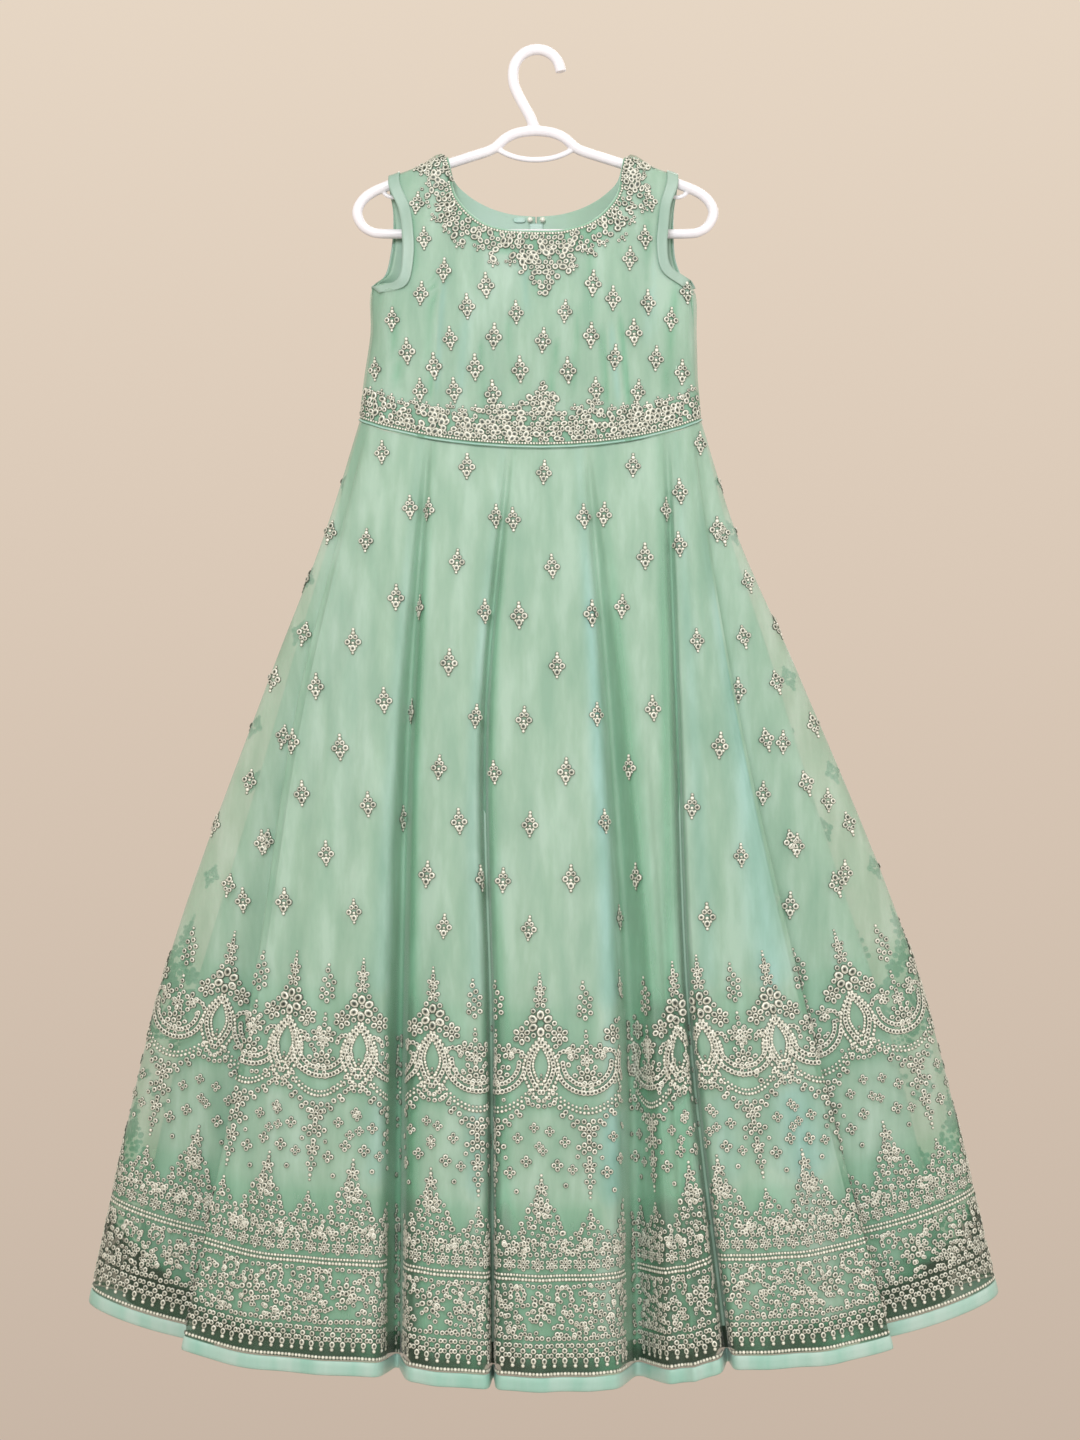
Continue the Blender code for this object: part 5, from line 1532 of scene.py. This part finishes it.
def stitch_border(stitches, panel, shift, chance):
    """The whole border of one panel, from the pearls on the hem up to the spires."""
    half = panel.hem_width / 2

    def put(across, motif):
        stamp(stitches, lambda u, v: panel.locate(across, v, u), motif)

    def spots(gap, height):
        return np.arange(-half, half, gap / panel.scale(height))

    for height, size, gap in PEARL_LINES:
        for across in spots(gap, height):
            put(across, [pearl(0, height, size)])
    for across in np.arange(-half, half, FRINGE_GAP):
        put(across, FRINGE_DROP)
    for across in spots(FLOWER_GAP, FLOWER_HEIGHT):
        put(across, rosette(0.0, FLOWER_HEIGHT, 5.0, 4.6))
    for height, size, gap in RING_LINES:
        for across in spots(gap, height):
            put(across + chance.uniform(-1.0, 1.0), [ring(0, height + chance.uniform(-1.2, 1.2), size)])
    reach = int(half / BORDER_REPEAT) + 2
    for k in range(-reach, reach + 1):
        tall = shift + k * BORDER_REPEAT
        low = tall + BORDER_REPEAT / 2
        put(tall, TALL_MOTIF)
        put(low, LOW_MOTIF)
        for share in np.linspace(-1.0, 1.0, SWAG_PEARLS):
            height = SWAG_HEIGHT + SWAG_RISE * share**2
            put(low + share * BORDER_REPEAT / 2, [pearl(0, height + SWAG_SPLIT, 3.2), pearl(0, height, 3.8)])
        for dx, height, size in LOOSE_CLUSTERS:
            loose = petals(4, size * 0.85, size * 1.15, 1.0, 0.0, dx, height)
            put(low, loose if size > SMALLEST_CLUSTER else [ring(dx, height, size * 1.7)])
    for density, low_height, high_height in BORDER_FILLS:
        for _ in range(int(panel.hem_width * density)):
            height, size = chance.uniform(low_height, high_height), chance.uniform(4.0, 5.8)
            across = chance.uniform(-half, half)
            from_tall = abs((across - shift + BORDER_REPEAT / 2) % BORDER_REPEAT - BORDER_REPEAT / 2)
            if height < CLEAR_ABOVE or from_tall * panel.scale(height) > CLEAR_BESIDE:
                put(across, [ring(0, height, size, 1.1, chance.uniform(0.0, 180.0))])


# Photo positions of the small clusters, in pixels
BODICE_BUTIS = (
    (417, 203), (424, 238), (444, 270), (650, 201), (645, 237), (630, 258), (486, 285), (421, 293),
    (467, 306), (516, 312), (565, 311), (593, 283), (613, 298), (648, 302), (687, 291), (392, 319),
    (671, 319), (450, 338), (494, 336), (543, 340), (591, 335), (634, 332), (407, 351), (615, 357),
    (656, 358), (375, 369), (434, 366), (475, 367), (520, 369), (568, 370), (682, 372), (420, 390),
    (454, 390), (493, 393), (596, 389), (638, 391),
)
SKIRT_BUTIS = (
    (382, 452), (467, 466), (544, 472), (633, 465), (700, 443), (410, 507), (428, 509), (496, 516),
    (513, 519), (584, 516), (604, 514), (666, 509), (680, 491), (366, 540), (457, 561), (552, 566),
    (645, 556), (679, 544), (717, 529), (396, 597), (420, 607), (485, 611), (519, 615), (592, 613),
    (622, 606), (353, 641), (449, 662), (557, 665), (697, 640), (316, 686), (384, 700), (412, 711),
    (476, 716), (524, 719), (597, 714), (653, 708), (340, 747), (439, 767), (494, 772), (566, 771),
    (629, 767), (720, 745), (302, 793), (368, 804), (403, 818), (459, 821), (530, 824), (605, 821),
    (692, 806), (763, 793), (326, 853), (427, 874), (481, 878), (503, 880), (571, 878), (636, 876),
    (741, 855), (845, 872), (284, 901), (354, 911), (444, 926), (529, 928), (619, 917), (707, 916),
    (262, 842), (243, 900), (292, 741), (738, 690), (783, 742), (797, 845), (790, 905), (828, 800),
)
# The photo's middle in pixels, and a pixel in millimetres at that distance from the camera
PHOTO_MIDDLE = (540.0, 720.0)
PIXEL = 1.1475
PIXEL_DISTANCE = 2600.0
CAMERA_PLACE = (0.0034, -2.6, -0.7631)
CAMERA_LENS = 56.65
CLUSTER_SIZES = (0.92, 1.06)
CLUSTER_TURN = 0.08

# Rows of small clusters behind: heights and spacing on the skirt, heights on the bodice, and spacing there
LATTICE_ROWS = (500.0, 618.0, 736.0, 854.0, 972.0)
BUTI_DROP = 118.0
BUTI_ACROSS = 96.0
LATTICE_TOP = 1000.0
LATTICE_MARGIN = 16.0
BACK_ROWS = (-215.0, -250.0, -287.0, -322.0, -357.0)
BACK_FIRST = 24.0
BACK_ACROSS = 46.0


def frame_at(place, out):
    """Right, up and out on the cloth at a place, with right level."""
    right = unit(np.cross(np.array([0.0, 0.0, 1.0]), out) * -1.0)
    return place, right, np.cross(out, right), out


def seen_at(trees, across, down):
    """The cloth that the camera sees at a pixel of the photo, and the place on it."""
    start = Vector(CAMERA_PLACE)
    ray = Vector(((across - PHOTO_MIDDLE[0]) * PIXEL / PIXEL_DISTANCE, 1.0,
                  (PHOTO_MIDDLE[1] - down) * PIXEL / PIXEL_DISTANCE)).normalized()
    hits = [(tree, *tree.ray_cast(start, ray)) for tree in trees]
    hits = [hit for hit in hits if hit[1] is not None]
    if not hits:
        return None
    tree, place, normal, _, _ = min(hits, key=lambda hit: hit[-1])
    out = np.array(normal) * (-1.0 if normal.dot(ray) > 0 else 1.0)
    return tree, frame_at(np.array(place) / MM, out)


def cloth_tree(name):
    mesh = bpy.data.objects[name].data
    faces = [tuple(p.vertices) for p in mesh.polygons]
    return BVHTree.FromPolygons([v.co.copy() for v in mesh.vertices], faces)


def on_plane(tree, found):
    """A locate function for small motifs: steps over the cloth from one place, kept on its surface."""
    place, right, up, out = found

    def locate(u, v):
        hit, normal, _, _ = tree.find_nearest(Vector((place + right * u + up * v) * MM))
        facing = np.array(normal) * (1.0 if float(np.array(normal) @ out) > 0 else -1.0)
        across = unit(right - facing * float(right @ facing))
        return np.array(hit) / MM, across, np.cross(facing, across), facing

    return locate


def stitch_butis(stitches, trees, positions, chance):
    for across, down in positions:
        found = seen_at(trees, across, down)
        if found:
            scale, turn = chance.uniform(*CLUSTER_SIZES), chance.uniform(-CLUSTER_TURN, CLUSTER_TURN)
            stamp(stitches, on_plane(*found), BUTI, scale=scale, turn=turn)


def stitch_lattice(stitches, panel, chance):
    """Half-drop rows of small clusters on a panel that the photo doesn't show."""
    for height in LATTICE_ROWS:
        count = int(panel.hem_width / BUTI_ACROSS) + 2
        edge = panel.hem_width / 2 - LATTICE_MARGIN / panel.scale(height)
        for k in range(-2 * count, 2 * count + 2):
            across, spot = k / 2 * BUTI_ACROSS, height + k % 2 * BUTI_DROP / 2
            if spot <= LATTICE_TOP and abs(across) <= edge:
                stamp(stitches, lambda u, v, a=across, s=spot: panel.locate(a, s + v, u), BUTI,
                      scale=chance.uniform(*CLUSTER_SIZES))


def stitch_back_butis(stitches, tree, sign, chance):
    for row, z in enumerate(BACK_ROWS):
        for k in range(4):
            x = MIDDLE_X + sign * (BACK_FIRST + BACK_ACROSS * (k + row % 2 / 2))
            place, normal, _, _ = tree.ray_cast(Vector((x * MM, 0.2, z * MM)), Vector((0.0, -1.0, 0.0)))
            if place is not None:
                out = np.array(normal) * (1.0 if normal.y > 0 else -1.0)
                stamp(stitches, on_plane(tree, frame_at(np.array(place) / MM, out)), BUTI,
                      scale=chance.uniform(*CLUSTER_SIZES))


# Embroidered bands: depth of the band at shares of the way from its middle to its end
NECK_DEPTHS = (
    (0.0, 78.0), (0.04, 68.0), (0.08, 56.0), (0.13, 50.0), (0.17, 42.0), (0.20, 27.0), (0.25, 28.0),
    (0.28, 46.0), (0.31, 28.0), (0.37, 26.0), (0.43, 36.0), (0.5, 29.0), (0.58, 35.0), (0.66, 29.0),
    (0.74, 34.0), (0.85, 34.0), (1.0, 38.0),
)
WAIST_DEPTHS = (
    (0.0, 80.0), (0.03, 72.0), (0.06, 62.0), (0.1, 52.0), (0.14, 42.0), (0.2, 40.0), (0.25, 46.0),
    (0.29, 52.0), (0.34, 38.0), (0.42, 34.0), (0.5, 37.0), (0.58, 31.0), (0.68, 35.0), (0.78, 30.0),
    (0.88, 36.0), (0.95, 31.0), (1.0, 37.0),
)
PLAIN_DEPTHS = (
    (0.0, 31.0), (0.12, 35.0), (0.25, 29.0), (0.38, 35.0), (0.5, 29.0), (0.62, 35.0), (0.75, 29.0),
    (0.88, 35.0), (1.0, 31.0),
)
BAND_ROWS = 14
BAND_FIRST = 8.0
BAND_ROW_GAP = 5.8
BAND_PITCH = 6.4
BAND_GAPS = 0.12
RAGGED_DEPTH = 5.0
RAGGED_GAPS = 0.3
EDGE_PEARL_GAP = 3.3
EDGE_PEARL_DEPTH = 3.4
TUFT_GAP = 15.0
TUFT_LIMIT = 44.0
WAIST_BAND_MIDDLE_X = 5.0
UPWARDS = np.array([0.0, 0.0, 1.0])
BAND_FROM_SEAM = 2.2
NECK_CENTRE = np.array([NECK_MIDDLE_X, 0.0, NECK_TOP_Z + 20.0])
# Columns of each bodice piece that end on the neck edge
NECK_COLUMNS = {"front": slice(3 * BODICE_STEPS, 17 * BODICE_STEPS + 1),
                "back_left": slice(7 * BODICE_STEPS + 1), "back_right": slice(7 * BODICE_STEPS + 1)}


def stitch_band(stitches, tree, path, depths, away, chance, middle):
    """A dense band along an edge of the cloth. away gives the sense in which the band grows from the edge."""
    runs = runs_along(path)
    length = runs[-1]
    longest = max(middle, length - middle)
    outwards = np.array([0.0, 1.0 if path[:, 1].mean() > 0 else -1.0, 0.0])
    _, sample, _, _ = tree.find_nearest(Vector((path[len(path) // 2] + outwards * 30.0) * MM))
    turned = 1.0 if float(np.array(sample) @ outwards) > 0 else -1.0

    def depth_at(run):
        return float(np.interp(abs(run - middle) / longest, *zip(*depths)))

    def locate(run, depth):
        edge = place = point_along(path, runs, run)
        ahead = point_along(path, runs, min(run + 3.0, length))
        along = unit(ahead - point_along(path, runs, max(run - 3.0, 0.0)))
        for _ in range(3):
            _, normal, _, _ = tree.find_nearest(Vector(place * MM))
            inward = unit(np.cross(along, np.array(normal)))
            if float(inward @ away(edge)) < 0:
                inward = -inward
            hit, normal, _, _ = tree.find_nearest(Vector((place + inward * depth / 3) * MM))
            place = np.array(hit) / MM
        facing = np.array(normal) * turned
        across = unit(along - facing * float(along @ facing))
        return place, across, np.cross(facing, across), facing

    for run in np.arange(1.5, length - 1.0, EDGE_PEARL_GAP):
        stamp(stitches, locate, [pearl(0, 0, 3.1)], run, EDGE_PEARL_DEPTH)
    for row in range(BAND_ROWS):
        depth = BAND_FIRST + row * BAND_ROW_GAP
        for run in np.arange(2.0 + (row % 2) * BAND_PITCH / 2, length - 1.5, BAND_PITCH):
            limit = depth_at(run)
            if depth > limit or (depth > limit - RAGGED_DEPTH and chance.uniform() < RAGGED_GAPS):
                continue
            if chance.uniform() < BAND_GAPS:
                continue
            size = chance.uniform(4.8, 7.4)
            element = ring(0, 0, size, chance.uniform(0.9, 1.5), chance.uniform(0.0, 180.0))
            aside, deeper = chance.uniform(-0.9, 0.9), chance.uniform(-0.8, 0.8)
            stamp(stitches, locate, [element], run + aside, depth + deeper)
    for run in np.arange(7.0, length - 6.0, TUFT_GAP):
        limit = depth_at(run)
        if limit < TUFT_LIMIT:
            tuft = [ring(0, 0, 4.8), ring(-3.6, 0.0, 4.0), ring(3.6, 0.0, 4.0)]
            stamp(stitches, locate, tuft, run, limit + 1.5)
            stamp(stitches, locate, [pearl(0, 0, 3.0)], run, limit + 5.5)


def make_embroidery(whole, seams, grids):
    chance = np.random.default_rng(11)
    for name, members in BORDER_GROUPS.items():
        stitches = Stitches()
        for k in members:
            panel = PanelMap(whole, seams[k], seams[(k + 1) % len(seams)])
            stitch_border(stitches, panel, BORDER_SHIFTS[k], chance)
            if not name.startswith("front"):
                stitch_lattice(stitches, panel, chance)
        stitches.piece("embroidery_border_" + name)

    trees = {name: cloth_tree("overlay_bodice_" + name) for name in grids}
    stitches = Stitches()
    stitch_butis(stitches, [trees["front"], cloth_tree("overlay_skirt")], BODICE_BUTIS + SKIRT_BUTIS, chance)
    stitch_back_butis(stitches, trees["back_left"], -1.0, chance)
    stitch_back_butis(stitches, trees["back_right"], 1.0, chance)
    stitches.piece("embroidery_clusters")

    for name, grid in grids.items():
        neck, waist = grid[NECK_COLUMNS[name], -1], grid[:, 0] + UPWARDS * BAND_FROM_SEAM
        neck_depths = waist_depths = PLAIN_DEPTHS
        neck_middle = waist_middle = 0.0
        if name == "front":
            neck_depths, waist_depths = NECK_DEPTHS, WAIST_DEPTHS
            neck_middle = runs_along(neck)[int(np.argmin(neck[:, 2]))]
            waist_middle = float(np.interp(WAIST_BAND_MIDDLE_X, waist[:, 0], runs_along(waist)))
        bands = (("neck", neck, neck_depths, lambda p: p - NECK_CENTRE, neck_middle),
                 ("waist", waist, waist_depths, lambda p: UPWARDS, waist_middle))
        for edge, path, depths, away, middle in bands:
            stitches = Stitches()
            stitch_band(stitches, trees[name], path, depths, away, chance, middle)
            stitches.piece(f"embroidery_{edge}_{name}", [f"{edge}_band_{name}"])


# Camera, light and floor

FLOOR_Z = -2.02
FLOOR_RADIUS = 1.3
WORLD_BLEND = 0.35
LAMPS = (
    # name, place, target, size, energy, colour
    ("key", (-0.4, -2.7, 0.6), (0.0, 0.0, -0.75), 1.4, 54.0, (0.98, 0.985, 1.0)),
    ("fill", (2.2, -1.8, -0.4), (0.0, 0.0, -0.8), 2.0, 17.0, (0.97, 0.98, 1.0)),
    ("back", (0.6, 2.4, 0.9), (0.0, 0.0, -0.8), 2.0, 26.0, (1.0, 1.0, 1.0)),
)


def make_studio():
    scene = bpy.context.scene
    camera = bpy.data.objects.new("camera", bpy.data.cameras.new("camera"))
    camera.data.sensor_width = 36.0
    camera.data.lens = CAMERA_LENS
    camera.location = CAMERA_PLACE
    camera.rotation_euler = (math.pi / 2, 0.0, 0.0)
    scene.collection.objects.link(camera)
    scene.camera = camera

    for name, place, target, size, energy, colour in LAMPS:
        lamp = bpy.data.lights.new(name, "AREA")
        lamp.shape = "DISK"
        lamp.size = size
        lamp.energy = energy
        lamp.color = colour
        made = bpy.data.objects.new(name, lamp)
        scene.collection.objects.link(made)
        made.location = place
        made.rotation_mode = "QUATERNION"
        made.rotation_quaternion = (Vector(target) - Vector(place)).to_track_quat("-Z", "Y")

    world = bpy.data.worlds.new("studio")
    scene.world = world
    world.use_nodes = True
    tree = world.node_tree
    background = tree.nodes["Background"]
    parts = node(tree, "ShaderNodeSeparateXYZ")
    tree.links.new(node(tree, "ShaderNodeTexCoord").outputs["Generated"], parts.inputs[0])
    height = node(tree, "ShaderNodeMapRange")
    height.inputs["From Min"].default_value = -WORLD_BLEND
    height.inputs["From Max"].default_value = WORLD_BLEND
    tree.links.new(parts.outputs["Z"], height.inputs["Value"])
    tree.links.new(colour_ramp(tree, height.outputs["Result"], WALL_STOPS), background.inputs["Color"])
    background.inputs["Strength"].default_value = 1.0

    shape = bmesh.new()
    bmesh.ops.create_circle(shape, cap_ends=True, segments=96, radius=FLOOR_RADIUS)
    floor_mesh = bpy.data.meshes.new("floor")
    shape.to_mesh(floor_mesh)
    shape.free()
    floor = bpy.data.objects.new("floor", floor_mesh)
    floor.location = (0.0, 0.0, FLOOR_Z)
    scene.collection.objects.link(floor)
    material, tree, shader = new_material("pale_floor", Roughness=0.8)
    colour = colour_ramp(tree, noise(tree, object_place(tree), 3.0, 3.0), FLOOR_STOPS)
    tree.links.new(colour, shader.inputs["Base Color"])
    floor_mesh.materials.append(material)
    scene.view_settings.view_transform = "Standard"


make_hanger()
bodice_grids = make_bodice()
whole, seams, skirt_sheets = make_skirt()
make_piping()
make_closure()
make_embroidery(whole, seams, bodice_grids)
make_studio()
